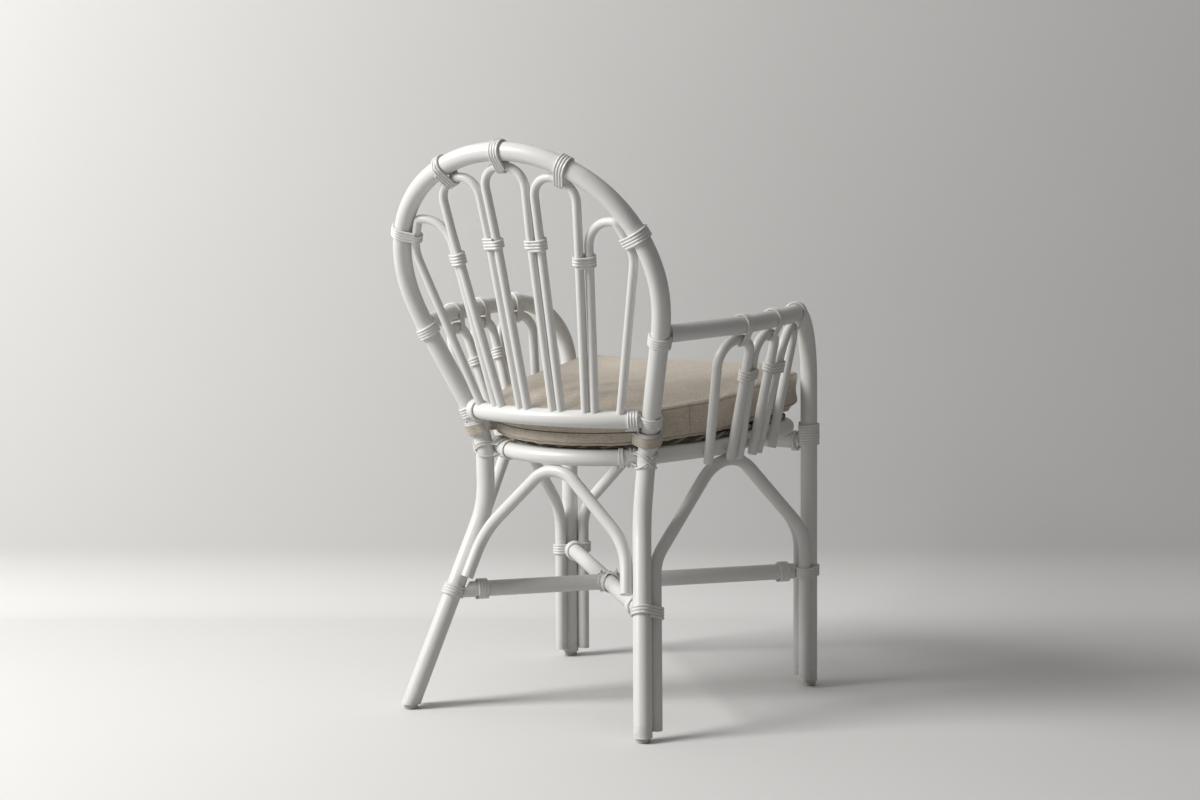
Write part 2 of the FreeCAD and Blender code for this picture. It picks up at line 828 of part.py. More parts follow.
nails = []
drills = []
for label, route in ARM_LOOPS.items():
    own_drills = []
    for count, (spot, way_in) in enumerate(nail_seats(label), start=1):
        nails.append(nail(f"nail_{label}_{count}", spot, way_in))
        drill = round_bar(
            f"drill_{label}_{count}",
            spot - way_in * size("nail_head_height"),
            way_in,
            "sizes.nail_diameter / 2 + sizes.nail_fit",
            "sizes.nail_length + 2 * sizes.nail_head_height",
        )
        own_drills.append(drill)
    cane = pole(f"arm_loop_{label}", route, "arm_cane_diameter")
    keep(f"arm_loop_{label}", trimmed(f"arm_loop_{label}", cane, own_drills))
    drills += own_drills
ring_holes = doc.addObject("Part::Compound", "ring_holes")
ring_holes.Links = drills
keep("seat_ring", trimmed("seat_ring", pole("seat_ring", RING, "ring_diameter"), [ring_holes]))

# Bindings: peel wound round poles in turns that climb steadily

HAIR_ANGLE = 0.001


def tangent_angle(first, second):
    """The outward angle of the straight run between two circles turned anticlockwise."""
    across = second[0] - first[0]
    up = second[1] - first[1]
    reach = math.hypot(across, up)
    slant = (first[2] - second[2]) / reach
    square = math.sqrt(1 - slant * slant)
    normal_across = (across * slant + up * square) / reach
    normal_up = (up * slant - across * square) / reach
    return math.atan2(normal_up, normal_across)


def on_circle(circle, angle):
    return circle[0] + circle[2] * math.cos(angle), circle[1] + circle[2] * math.sin(angle)


def quarter_turns(circle, start, turn):
    """The legs of a turn round a circle, each at most a quarter: ends, headings and length."""
    count = math.ceil(turn / (math.pi / 2) - HAIR_ANGLE)
    legs = []
    for k in range(count):
        first = start + turn * k / count
        last = start + turn * (k + 1) / count
        ends = on_circle(circle, first), on_circle(circle, last)
        headings = first + math.pi / 2, last + math.pi / 2
        legs.append((*ends, *headings, circle[2] * turn / count))
    return legs


def straight(start, heading, length):
    end = (start[0] + length * math.cos(heading), start[1] + length * math.sin(heading))
    return start, end, heading, heading, length


def belt(circles):
    """The legs of a belt round circles in turn, with straight runs from one to the next."""
    angles = [tangent_angle(first, second) for first, second in zip(circles, circles[1:])]
    legs = []
    for k, angle in enumerate(angles):
        start = on_circle(circles[k], angle)
        end = on_circle(circles[k + 1], angle)
        heading = angle + math.pi / 2
        legs.append((start, end, heading, heading, math.dist(start, end)))
        if k + 1 < len(angles):
            turn = (angles[k + 1] - angle + HAIR_ANGLE) % (2 * math.pi) - HAIR_ANGLE
            legs += quarter_turns(circles[k + 1], angle, turn)
    return legs


def round_one(radius, turns):
    """The legs of turns round a single pole, with a straight end before and after."""
    tail = size("peel_diameter")
    circle = (0, 0, radius)
    legs = quarter_turns(circle, 0, 2 * math.pi * turns)
    before = straight(legs[0][0], math.pi * 1.5, tail)
    first = (before[1], before[0], math.pi / 2, math.pi / 2, tail)
    return [first] + legs + [straight(legs[-1][1], legs[-1][3], tail)]


def biarc(start, way_out, end, way_in):
    """Two arcs that leave the start and reach the end in given directions."""
    chord = end - start
    both = chord.dot(way_out + way_in)
    spread = 2 * (way_out.dot(way_in) - 1)
    reach = (both - math.sqrt(both * both - spread * chord.dot(chord))) / spread
    first = start + way_out * reach
    second = end - way_in * reach
    joint = (first + second) * 0.5
    return arc_at(start, first, joint, reach), arc_at(joint, second, end, reach)


least_gaps = {}


def least_gap(steps, diameter, turn_length):
    """The least gap of a wound tube to itself, measured on points along its middle line."""
    spots = []
    walked = 0.0
    for step in steps:
        edge = (Part.Arc(*step) if len(step) == 3 else Part.LineSegment(*step)).toShape()
        count = max(2, math.ceil(edge.Length / (diameter / 2)))
        for k in range(count):
            spots.append((walked + edge.Length * k / count, edge.valueAt(
                edge.getParameterByLength(edge.Length * k / count)
            )))
        walked += edge.Length
    least = None
    for k, (walk, spot) in enumerate(spots):
        for far_walk, far in spots[k + 1 :]:
            if far_walk - walk > turn_length / 2:
                gap = spot.distanceToPoint(far)
                if least is None or gap < least:
                    least = gap
    return least - diameter


def wound(label, middle, across, axis, legs, turns, step="peel_step"):
    """A tube of peel along planar legs that climb along an axis, centred on its middle."""
    up = axis.cross(across)
    total = sum(leg[4] for leg in legs)
    climb = turns * size(step)
    rate = climb / total
    level = math.hypot(1, rate)
    start = middle - axis * (climb / 2)

    def lift(spot, walked):
        return start + across * spot[0] + up * spot[1] + axis * (walked * rate)

    def way(heading):
        flat = across * math.cos(heading) + up * math.sin(heading)
        return (flat + axis * rate) * (1 / level)

    steps = []
    walked = 0.0
    for first, last, heading_out, heading_in, length in legs:
        begin = lift(first, walked)
        walked += length
        end = lift(last, walked)
        if heading_out == heading_in:
            steps.append((begin, end))
        else:
            steps += biarc(begin, way(heading_out), end, way(heading_in))
    route = Route(steps)
    gap = least_gap(steps, size("peel_diameter"), total / turns)
    least_gaps[label] = gap
    profile = Part.Circle(steps[0][0], way(legs[0][2]), half("peel_diameter")).toShape()
    tube = doc.addObject("Part::Feature", label)
    tube.Shape = route.wire().makePipeShell([Part.Wire([profile])], True, False)
    return tube


def square_to(axis, hint):
    """The unit direction nearest to a hint that is square to an axis."""
    return (hint - axis * hint.dot(axis)).normalize()


def peel_radius(diameter, layer=0):
    """The radius of a binding's middle line over a pole, in its first or a further layer."""
    step = size("peel_diameter") + size("clearance")
    return half(diameter) + size("clearance") + half("peel_diameter") + layer * step


def pole_wrap(label, spot, axis, diameter, turns, hint=UP):
    """Turns round one pole. The ends lie on the side that the hint points to."""
    axis = axis * (1 / axis.Length)
    legs = round_one(peel_radius(diameter), turns)
    return wound(label, spot, square_to(axis, hint), axis, legs, turns)


def bundle_wrap(label, spots, axis, diameters, turns):
    """Turns round two or three poles that lie side by side."""
    axis = axis * (1 / axis.Length)
    middle = spots[0]
    across = square_to(axis, spots[1] - spots[0])
    up = axis.cross(across)
    circles = []
    for spot, diameter in zip(spots, diameters):
        away = spot - middle
        circles.append((away.dot(across), away.dot(up), peel_radius(diameter)))
    centre_across = sum(circle[0] for circle in circles) / len(circles)
    centre_up = sum(circle[1] for circle in circles) / len(circles)
    circles.sort(key=lambda circle: math.atan2(circle[1] - centre_up, circle[0] - centre_across))
    legs = belt(circles * turns + circles[:1])
    return wound(label, middle, across, axis, legs, turns)


def lashing(label, first, first_way, second, second_way, diameters, turns, layer, handed, slack):
    """Turns laid slantwise over two crossing poles. A slanting cut through a pole is an
    oval, which two circles of the pole's own radius stand for."""
    outward = (second - first) if (second - first).Length > size("clearance") else UP
    outward = square_to(first_way, outward)
    second_way = square_to(outward, second_way)
    along = (first_way + second_way * handed).normalize()
    axis = along.cross(outward).normalize()
    lift = (second - first).dot(outward)
    circles = []
    for count in range(4 * turns + 1):
        pole_number, end = ((0, -1), (0, 1), (1, 1), (1, -1))[count % 4]
        climbed = (count / 4 - turns / 2) * size("lashing_step")
        pole_way = (first_way, second_way)[pole_number]
        slant = pole_way.dot(axis)
        oval_share = 1 / abs(slant) - 1
        diameter = diameters[pole_number]
        shift = climbed * pole_way.dot(along) / slant + end * oval_share * half(diameter)
        radius = peel_radius(diameter, layer) + size(slack)
        circles.append((shift, lift * pole_number, radius))
    return wound(label, first, along, axis, belt(circles), turns, "lashing_step")


def group(label, members):
    """Several bindings or nails kept as one node of separate solids."""
    if len(members) == 1:
        keep(label, members[0])
        return
    compound = doc.addObject("Part::Compound", f"{label}_group")
    compound.Links = members
    keep(label, compound)


# Back canes to the hoop, and to each other in pairs

for number, (tie, side) in enumerate(
    (("outer", 1), ("inner", 1), ("middle", 1), ("inner", -1), ("outer", -1)), start=1
):
    distance = 0 if tie == "middle" else size(f"{tie}_loop_tie")
    hoop_spot, way = HOOP_HALF.at(distance)
    top, _ = hoop_tie(distance, 1)
    spots = [on_side(hoop_spot, side), on_side(top, side)]
    wrap = bundle_wrap(
        f"hoop_tie_{number}", spots, on_side(way, side), ["pole_diameter", "back_cane_diameter"], 4
    )
    keep(f"hoop_tie_{number}", wrap)

PAIRS = (("1", "2", "outer"), ("2", "3", "middle"), ("3", "4", "middle"), ("4", "5", "outer"))


def leg_near(route, height, side_x):
    """Where a loop's leg nearest to a half width passes a height."""
    candidates = []
    low, high = route.at_height(height), Route(reversed_steps(route.steps)).at_height(height)
    for spot, way in (low, high):
        candidates.append((abs(spot.x - side_x), spot, way if way.z > 0 else way * -1))
    return min(candidates, key=lambda item: item[0])[1:]


for number, (first, second, kind) in enumerate(PAIRS, start=1):
    height = size(f"{kind}_pair_tie_height")
    side = 1 if number < 3 else -1
    aim = side * size("inner_loop_waist_out" if kind == "outer" else "middle_loop_waist")
    spot, way = leg_near(BACK_LOOPS[first], height, aim)
    other, _ = leg_near(BACK_LOOPS[second], height, aim)
    canes = ["back_cane_diameter"] * 2
    keep(f"pair_tie_{number}", bundle_wrap(f"pair_tie_{number}", [spot, other], way, canes, 4))

# Arm canes to the arms, and to each other in pairs


for name, side in SIDES.items():
    ties = []
    for number, order in ORDERS.items():
        spot, top, way = (on_side(entry, side) for entry in arm_spots(order))
        label = f"arm_tie_{name}_{number}"
        canes = ["arm_diameter", "arm_cane_diameter"]
        ties.append(bundle_wrap(label, [spot, top], way, canes, 3))
    group(f"arm_loop_ties_{name}", ties)
    ties = []
    for first, second, end in (("1", "2", "rear"), ("2", "3", "front")):
        height = size(f"{end}_arm_pair_tie_height")
        spot, way = Route(reversed_steps(ARM_LOOPS[f"{name}_{first}"].steps)).at_height(height)
        other, _ = ARM_LOOPS[f"{name}_{second}"].at_height(height)
        label = f"arm_pair_tie_{name}_{first}"
        canes = ["arm_cane_diameter"] * 2
        ties.append(bundle_wrap(label, [spot, other], way, canes, 4))
    group(f"arm_pair_ties_{name}", ties)

# Frame joints

for name, side in SIDES.items():
    spot, way = upright(size("arm_height") - size("arm_joint_drop"), side)
    hint = Vector(side, 0, 0)
    label = f"arm_joint_wrap_{name}"
    keep(label, pole_wrap(label, spot, way, "pole_diameter", 4, hint))

    spot, way = upright(size("back_rail_height"), side)
    on_upright = pole_wrap(f"upright_wrap_{name}", spot, way, "pole_diameter", 4, hint)
    walked = size("rail_wrap_distance")
    spot, way = BACK_RAIL.at(BACK_RAIL.length - walked if side > 0 else walked)
    on_rail = pole_wrap(f"rail_wrap_{name}", spot, way, "rail_diameter", 4, UP * -1)
    group(f"back_rail_wrap_{name}", [on_upright, on_rail])

    spot, way = front_leg(size("front_leg_wrap_height"), side)
    on_leg = pole_wrap(f"seat_leg_wrap_{name}", spot, way, "arm_diameter", 8, hint * -1)
    spot = on_side(rail_spot, side) - Vector(side * size("front_rail_wrap_distance"), 0, 0)
    on_rail = pole_wrap(
        f"front_rail_wrap_{name}", spot, Vector(1, 0, 0), "front_rail_diameter", 2, UP * -1
    )
    group(f"seat_front_wrap_{name}", [on_leg, on_rail])

# Rear legs to the seat ring: two slanting lashings over each other

touching = RING.wire().distToShape(HOOP_HALF.wire())
ring_spot, leg_spot = touching[1][0]
leg_way = upright(leg_spot.z)[1]
ring_at_leg = RING.where(lambda spot: spot.y - ring_spot.y)
ring_way = RING.at(ring_at_leg)[1]
for name, side in SIDES.items():
    joint = [on_side(spot, side) for spot in (leg_spot, leg_way, ring_spot, ring_way)]
    poles = ["pole_diameter", "ring_diameter"]
    under = lashing(f"seat_lashing_{name}_1", *joint, poles, 2, 0, 1, "corner_lashing_slack")
    over = lashing(f"seat_lashing_{name}_2", *joint, poles, 2, 1, -1, "corner_lashing_slack")
    spot, way = RING.at(ring_at_leg - size("ring_wrap_distance"))
    on_ring = pole_wrap(
        f"ring_wrap_{name}", on_side(spot, side), on_side(way, side), "ring_diameter", 2, UP * -1
    )
    group(f"seat_rear_wrap_{name}", [under, over, on_ring])

# Legs bound to their arch poles at the stretchers

LEG_BUNDLES = {}
for name, side in SIDES.items():
    spot, way = upright(size("stretcher_rear_height"))
    spots = [spot, beside(spot, way, "side_arch_rear_bearing")]
    LEG_BUNDLES[f"rear_{name}"] = (
        [on_side(entry, side) for entry in spots],
        on_side(way, side),
        ["pole_diameter", "arch_diameter"],
    )
    spot, way = front_leg(size("stretcher_front_height"))
    spots = [
        spot,
        beside(spot, way, "side_arch_front_bearing"),
        beside(spot, way, "front_arch_bearing"),
    ]
    LEG_BUNDLES[f"front_{name}"] = (
        [on_side(entry, side) for entry in spots],
        on_side(way, side),
        ["arm_diameter", "arch_diameter", "arch_diameter"],
    )

# Stretchers, crossed and halved into each other


def bundle_cutter(label, spots, axis, diameters):
    """A block round a bound bundle of poles, against which a stretcher ends."""
    across = square_to(axis, spots[1] - spots[0])
    up = axis.cross(across)
    circles = []
    for spot, diameter in zip(spots, diameters):
        away = spot - spots[0]
        circles.append((away.dot(across), away.dot(up), half(diameter) + binding))
    centre_across = sum(circle[0] for circle in circles) / len(circles)
    centre_up = sum(circle[1] for circle in circles) / len(circles)
    circles.sort(key=lambda circle: math.atan2(circle[1] - centre_up, circle[0] - centre_across))
    legs = belt(circles + circles[:2])[:-1]
    start = spots[0] - axis * size("stretcher_diameter")
    edges = []
    for first, last, heading_out, heading_in, length in legs:
        begin = start + across * first[0] + up * first[1]
        end = start + across * last[0] + up * last[1]
        if heading_out == heading_in:
            edges.append(Part.LineSegment(begin, end).toShape())
        else:
            way_out = across * math.cos(heading_out) + up * math.sin(heading_out)
            way_in = across * math.cos(heading_in) + up * math.sin(heading_in)
            reach = (end - begin).Length / 2 / math.cos(way_out.getAngle(way_in) / 2)
            corner = begin + way_out * reach
            edges.append(Part.Arc(*arc_at(begin, corner, end, reach)).toShape())
    face = Part.Face(Part.Wire(Part.__sortEdges__(edges)))
    block = doc.addObject("Part::Feature", label)
    block.Shape = face.extrude(axis * (2 * size("stretcher_diameter")))
    return block


STRETCHERS = {}
for name, side in SIDES.items():
    rear, _ = upright(size("stretcher_rear_height"), side)
    front, _ = front_leg(size("stretcher_front_height"), -side)
    STRETCHERS[name] = Route([(rear, front)])
CROSSING, _ = STRETCHERS["left"].at(STRETCHERS["left"].where(lambda spot: spot.x))


def halving(label, along, side):
    """The block that halves a stretcher where the other one passes, above or below."""
    block = doc.addObject("Part::Box", label)
    block.setExpression("Length", "3 * sizes.stretcher_diameter")
    block.setExpression("Width", "sizes.stretcher_diameter + 2 * sizes.clearance")
    block.setExpression("Height", "sizes.stretcher_diameter")
    turn = Rotation(Vector(1, 0, 0), Vector(along.x, along.y, 0))
    half_size = Vector(
        1.5 * size("stretcher_diameter"), half("stretcher_diameter") + size("clearance"), 0
    )
    lift = -half("clearance") if side > 0 else half("clearance") - size("stretcher_diameter")
    block.Placement = Placement(CROSSING + UP * lift - turn.multVec(half_size), turn)
    return block


for name, side in SIDES.items():
    other = "right" if side > 0 else "left"
    bundles = [
        bundle_cutter(f"stretcher_{name}_{end}", *LEG_BUNDLES[bundle])
        for end, bundle in (("rear", f"rear_{name}"), ("front", f"front_{other}"))
    ]
    other_way = STRETCHERS[other].at(0)[1]
    notch = halving(f"stretcher_{name}_notch", other_way, side)
    stretcher = pole(f"stretcher_{name}", STRETCHERS[name], "stretcher_diameter")
    keep(f"stretcher_{name}", trimmed(f"stretcher_{name}", stretcher, bundles + [notch]))

for label, (spots, axis, diameters) in LEG_BUNDLES.items():
    end, name = label.split("_")
    wrap = bundle_wrap(f"leg_wrap_{label}", spots, axis, diameters, 4)
    stretcher = STRETCHERS[name if end == "rear" else ("right" if name == "left" else "left")]
    walked = size("stretcher_wrap_distance")
    spot, way = stretcher.at(walked if end == "rear" else stretcher.length - walked)
    on_end = pole_wrap(f"stretcher_wrap_{label}", spot, way, "stretcher_diameter", 4, UP * -1)
    group(f"leg_wrap_{end}_{name}", [wrap, on_end])

ways = [STRETCHERS[name].at(0)[1] for name in SIDES]
crossing = (CROSSING, ways[0], CROSSING, ways[1])
crossed = ["stretcher_diameter"] * 2
under = lashing("cross_lashing_1", *crossing, crossed, 3, 0, 1, "lashing_slack")
over = lashing("cross_lashing_2", *crossing, crossed, 3, 1, -1, "lashing_slack")
group("cross_wrap", [under, over])

# Edge rope, laid on the ring, and the deck inside it

SEAT_TURN = Rotation(Vector(1, 0, 0), -size("seat_rise_angle"))


def along_ring(usual, at_corners):
    """A distance for each corner of the ring, with another one at the two rear corners."""
    return [usual, at_corners, usual, usual, usual, usual, at_corners]


rope_reach = half("ring_diameter") + half("rope_diameter") + size("clearance")
rope_rise = math.sqrt(rope_reach**2 - size("rope_inset") ** 2)
rope_distances = along_ring(size("rope_inset"), size("rope_corner_inset"))
rope_corners = [
    spot + SEAT_NORMAL * rope_rise for spot in inset(RING_CORNERS, rope_distances, SEAT_NORMAL)
]
rope_radii = [radius - size("rope_inset") for radius in RING_RADII]
ROPE = Route(closed(rope_corners, rope_radii))
keep("seat_edge_rope", pole("seat_edge_rope", ROPE, "rope_diameter"))


def flat(spot):
    """A point of the seat's plane in the plane's own coordinates."""
    away = spot - SEAT_MIDDLE
    return Vector(away.x, away.dot(SEAT_REARWARD), 0)


deck_reach = half("ring_diameter") + size("clearance")
deck_inset = math.sqrt(deck_reach**2 - size("deck_rise") ** 2)
deck_distances = along_ring(deck_inset, size("deck_corner_inset"))
deck_corners = [flat(spot) for spot in inset(RING_CORNERS, deck_distances, SEAT_NORMAL)]
deck_radii = [radius - deck_inset for radius in RING_RADII]
deck_body = doc.addObject("PartDesign::Body", "deck_body")
deck_sketch = deck_body.newObject("Sketcher::SketchObject", "deck_outline")


def origin_plane(body, role):
    return next(plane for plane in body.Origin.OriginFeatures if plane.Role == role)


deck_sketch.AttachmentSupport = [(origin_plane(deck_body, "XY_Plane"), "")]
deck_sketch.MapMode = "FlatFace"
for step in closed(deck_corners, deck_radii):
    deck_sketch.addGeometry(Part.Arc(*step) if len(step) == 3 else Part.LineSegment(*step), False)
deck_pad = deck_body.newObject("PartDesign::Pad", "deck_pad")
deck_pad.Profile = deck_sketch
deck_pad.setExpression("Length", "sizes.deck_thickness")
deck_body.Placement = Placement(SEAT_MIDDLE + SEAT_NORMAL * size("deck_rise"), SEAT_TURN)
keep("seat_deck", deck_body)

# Cushion: a cover with drawn-in sides and a crowned top, round a foam block

cushion_base = rope_rise + half("rope_diameter") + size("clearance")
cushion_distances = along_ring(-size("cushion_outset"), -size("cushion_outset"))
cushion_distances[0] = -size("cushion_bow_outset")
grown = [flat(spot) for spot in inset(RING_CORNERS, cushion_distances, SEAT_NORMAL)]
bow, left_rear, left_side, left_front = grown[:4]
left_waist = (left_side + left_front) * 0.5 - Vector(size("cushion_draw_in"), 0, 0)
front_waist = Vector(0, left_front.y + size("cushion_draw_in"), 0)
left_run = [left_rear, left_side, left_waist, left_front]
CUSHION_CORNERS = [bow] + left_run + [front_waist] + [mirrored(spot) for spot in reversed(left_run)]
corner_radius = size("cushion_corner_radius")
draw_radius = size("cushion_draw_radius")
front_radius = size("cushion_front_radius")
left_radii = [corner_radius, size("ring_side_radius"), draw_radius, front_radius]
CUSHION_RADII = [size("ring_bow_radius")] + left_radii + [draw_radius] + left_radii[::-1]
CUSHION_CENTRE = Vector(0, (bow.y + left_front.y) / 2, 0)

# Each section's share of the plan, then of the boxing's height and of the crown's
CUSHION_SHARES = (
    (0.965, 0.0, 0.0),
    (1.0, 0.12, 0.0),
    (0.985, 0.5, 0.0),
    (1.0, 0.95, 0.0),
    (0.985, 1.0, 0.12),
    (0.93, 1.0, 0.45),
    (0.83, 1.0, 0.72),
    (0.66, 1.0, 0.9),
    (0.42, 1.0, 1.0),
)


def cushion_block(label, shrink):
    """The cushion's form, drawn in by a distance all round."""
    full = size("cushion_boxing") + size("cushion_crown")
    plan_share = 1 - shrink / (ring_side + size("cushion_outset"))
    sections = []
    for count, (plan, boxing, crown) in enumerate(CUSHION_SHARES):
        share = plan * plan_share
        level = boxing * size("cushion_boxing") + crown * size("cushion_crown")
        level = shrink + level * (full - 2 * shrink) / full
        corners = [
            CUSHION_CENTRE + (spot - CUSHION_CENTRE) * share + UP * level for spot in CUSHION_CORNERS
        ]
        radii = [radius * share for radius in CUSHION_RADII]
        section = doc.addObject("Part::Feature", f"{label}_section_{count + 1}")
        section.Shape = Route(closed(corners, radii)).wire()
        sections.append(section)
    block = doc.addObject("Part::Loft", label)
    block.Sections = sections
    block.Solid = True
    block.Ruled = True
    block.Placement = Placement(SEAT_MIDDLE + SEAT_NORMAL * cushion_base, SEAT_TURN)
    return block


cover_outside = cushion_block("cover_outside", 0)
cover_hollow = cushion_block("cover_hollow", size("cover_thickness"))
foam = cushion_block("cushion_foam_block", size("cover_thickness") + size("clearance"))
keep("cushion_cover", trimmed("cushion_cover", cover_outside, [cover_hollow]))
keep("cushion_foam", foam)

# Fabric bands round the rear uprights, each with a sewn-down end


def band_round(label, spot, axis, extra):
    """A round block along an upright, as wide as its radius and an extra give."""
    block = doc.addObject("Part::Cylinder", label)
    block.setExpression("Radius", f"sizes.pole_diameter / 2 + {extra}")
    block.setExpression("Height", "sizes.band_width")
    block.Placement = Placement(spot - axis * half("band_width"), Rotation(UP, axis))
    return block


for name, side in SIDES.items():
    spot, way = upright(size("band_height"), side)
    outer = band_round(f"band_{name}_outside", spot, way, "sizes.band_slack + sizes.band_thickness")
    inner = band_round(f"band_{name}_hollow", spot, way, "sizes.band_slack")
    flap = doc.addObject("Part::Box", f"band_{name}_flap")
    flap.setExpression("Length", "sizes.band_flap")
    flap.setExpression("Width", "sizes.band_thickness")
    flap.setExpression("Height", "sizes.band_width")
    across = square_to(way, Vector(1, 0, 0))
    turn = Rotation(across, way.cross(across), way, "ZXY")
    corner = Vector(
        -half("band_flap"), half("pole_diameter") + size("band_slack"), -half("band_width")
    )
    flap.Placement = Placement(spot + turn.multVec(corner), turn)
    joined = doc.addObject("Part::Fuse", f"band_{name}_joined")
    joined.Base = outer
    joined.Tool = flap
    keep(f"cushion_tie_{name}", trimmed(f"cushion_tie_{name}", joined, [inner]))

# Glides


def glide(label, spot):
    """A turned plastic glide under a foot, with a chamfered edge."""
    body = doc.addObject("PartDesign::Body", f"{label}_body")
    sketch = body.newObject("Sketcher::SketchObject", f"{label}_profile")
    sketch.AttachmentSupport = [(origin_plane(body, "XZ_Plane"), "")]
    sketch.MapMode = "FlatFace"
    radius = half("glide_diameter")
    height = size("glide_height")
    chamfer = size("glide_chamfer")
    corners = [
        Vector(0, 0, 0),
        Vector(radius - chamfer, 0, 0),
        Vector(radius, chamfer, 0),
        Vector(radius, height, 0),
        Vector(0, height, 0),
    ]
    for start, end in zip(corners, corners[1:] + corners[:1]):
        sketch.addGeometry(Part.LineSegment(start, end), False)
    turned = body.newObject("PartDesign::Revolution", f"{label}_turned")
    turned.Profile = sketch
    turned.ReferenceAxis = (sketch, ["V_Axis"])
    turned.Angle = 360
    body.Placement = Placement(Vector(spot.x, spot.y, 0), Rotation())
    keep(label, body)


for name, side in SIDES.items():
    glide(f"glide_rear_{name}", upright(size("glide_height"), side)[0])
    glide(f"glide_front_{name}", front_leg(size("glide_height"), side)[0])

group("cane_nails", nails)

# What is broken is never written

doc.recompute()
broken = [
    thing.Name for thing in doc.Objects if "Invalid" in thing.State or "Error" in thing.State
]
if broken:
    raise RuntimeError(f"not built: {broken}")
for label, piece in pieces.items():
    if piece.Shape.isNull() or not piece.Shape.isValid():
        raise RuntimeError(f"{label} has no valid shape")

for label, gap in least_gaps.items():
    print(f"{label}: least gap {gap:.2f} mm")

os.makedirs("parts", exist_ok=True)
for label, piece in pieces.items():
    piece.Shape.exportStep(f"parts/{label}.step")
whole = Part.makeCompound([piece.Shape for piece in pieces.values()]).BoundBox
print(f"{len(pieces)} pieces, {whole.XLength:.0f} x {whole.YLength:.0f} x {whole.ZLength:.0f} mm")
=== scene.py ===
# %% [markdown]
# # A painted cane armchair with a linen seat cushion
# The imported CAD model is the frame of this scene: every pole, binding and glide in it has its
# real size and place. This script dresses it. Poles keep the CAD shape and get a paint finish,
# and the bindings get a coat of paint in real geometry. The cushion, its bands and the edge rope
# are made anew, because cloth and rope need folds, seams and strands that a solid model lacks.

# %% Load the frame
import math

import bmesh
import bpy
from mathutils import Matrix, Vector, noise
from mathutils.bvhtree import BVHTree
from mathutils.kdtree import KDTree


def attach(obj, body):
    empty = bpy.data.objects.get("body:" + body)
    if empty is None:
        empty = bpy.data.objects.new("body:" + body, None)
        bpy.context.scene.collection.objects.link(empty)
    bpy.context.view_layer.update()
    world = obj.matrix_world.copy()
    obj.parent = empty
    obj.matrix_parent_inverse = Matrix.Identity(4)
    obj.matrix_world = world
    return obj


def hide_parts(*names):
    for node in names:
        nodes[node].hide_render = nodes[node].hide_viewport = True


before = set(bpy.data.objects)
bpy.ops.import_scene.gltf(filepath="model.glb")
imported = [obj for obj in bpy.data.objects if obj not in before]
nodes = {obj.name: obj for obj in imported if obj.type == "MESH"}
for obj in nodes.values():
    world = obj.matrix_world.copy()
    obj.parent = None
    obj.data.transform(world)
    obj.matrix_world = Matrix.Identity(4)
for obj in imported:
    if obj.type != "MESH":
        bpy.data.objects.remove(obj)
bpy.context.view_layer.update()
scene = bpy.context.scene

# %% [markdown]
# ## Sums of sockets
# A finish is easiest to read as a formula: a mask times a depth, one minus a share. This small
# class wraps a socket, so that such a line adds the Math nodes by itself. Every other node comes
# from one method, which sets the node's own options before it fills its sockets.


# %% A socket that can be added, subtracted and multiplied
class Shade:
    """An output socket of a finish under way."""

    def __init__(self, finish, socket):
        self.finish = finish
        self.socket = socket

    def maths(self, operation, first, second):
        return self.finish.node("Math", {"operation": operation}, {0: first, 1: second})

    def __add__(self, other):
        return self.maths("ADD", self, other)

    def __sub__(self, other):
        return self.maths("SUBTRACT", self, other)

    def __rsub__(self, other):
        return self.maths("SUBTRACT", other, self)

    def __mul__(self, other):
        return self.maths("MULTIPLY", self, other)

    __radd__ = __add__
    __rmul__ = __mul__


# %% A finish: one material and the ways to build it
class Finish:
    """One material, built node by node."""

    def __init__(self, name):
        self.material = bpy.data.materials.new(name)
        self.material.use_nodes = True
        self.tree = self.material.node_tree
        self.tree.nodes.clear()

    def node(self, kind, settings=None, inputs=None, output=0):
        made = self.tree.nodes.new(f"ShaderNode{kind}")
        for name, value in (settings or {}).items():
            setattr(made, name, value)
        for name, value in (inputs or {}).items():
            if isinstance(value, Shade):
                self.tree.links.new(value.socket, made.inputs[name])
            else:
                made.inputs[name].default_value = value
        return Shade(self, made.outputs[output])

    def spot(self):
        """Where a point of the piece is, in metres."""
        return self.node("TexCoord", output="Object")

    def stretched(self, scale, turn=(0, 0, 0)):
        """The same point with each axis stretched, so that a pattern runs long one way."""
        return self.node("Mapping", {}, {"Vector": self.spot(), "Scale": scale, "Rotation": turn})

    def clouds(self, where, scale, detail=2.0, rough=0.5):
        """A soft random pattern from 0 to 1."""
        inputs = {"Vector": where, "Scale": scale, "Detail": detail, "Roughness": rough}
        return self.node("TexNoise", {}, inputs)

    def between(self, value, low, high):
        """0 under the low value, 1 over the high one, and a smooth step from one to the other."""
        settings = {"interpolation_type": "SMOOTHSTEP"}
        return self.node("MapRange", settings, {"Value": value, "From Min": low, "From Max": high})

    def blend(self, share, first, second):
        """One colour turning into another."""
        return self.node(
            "Mix", {"data_type": "RGBA"}, {0: share, 6: first, 7: second}, "Result"
        )

    def surface(self, **sockets):
        """The shader itself, wired to the output. A depth of relief in metres comes as `relief`."""
        relief = sockets.pop("relief", None)
        inputs = {name.replace("_", " "): value for name, value in sockets.items()}
        if relief is not None:
            inputs["Normal"] = self.node("Bump", {}, {"Height": relief, "Distance": 1.0})
        shader = self.node("BsdfPrincipled", {}, inputs)
        self.node_output(shader)
        return self.material

    def node_output(self, shader):
        out = self.tree.nodes.new("ShaderNodeOutputMaterial")
        self.tree.links.new(shader.socket, out.inputs["Surface"])


def colour(red, green, blue):
    return (red, green, blue, 1.0)


def dimmed(share, shade):
    """A colour with its three parts lowered alike."""
    return colour(*(share * part for part in shade))


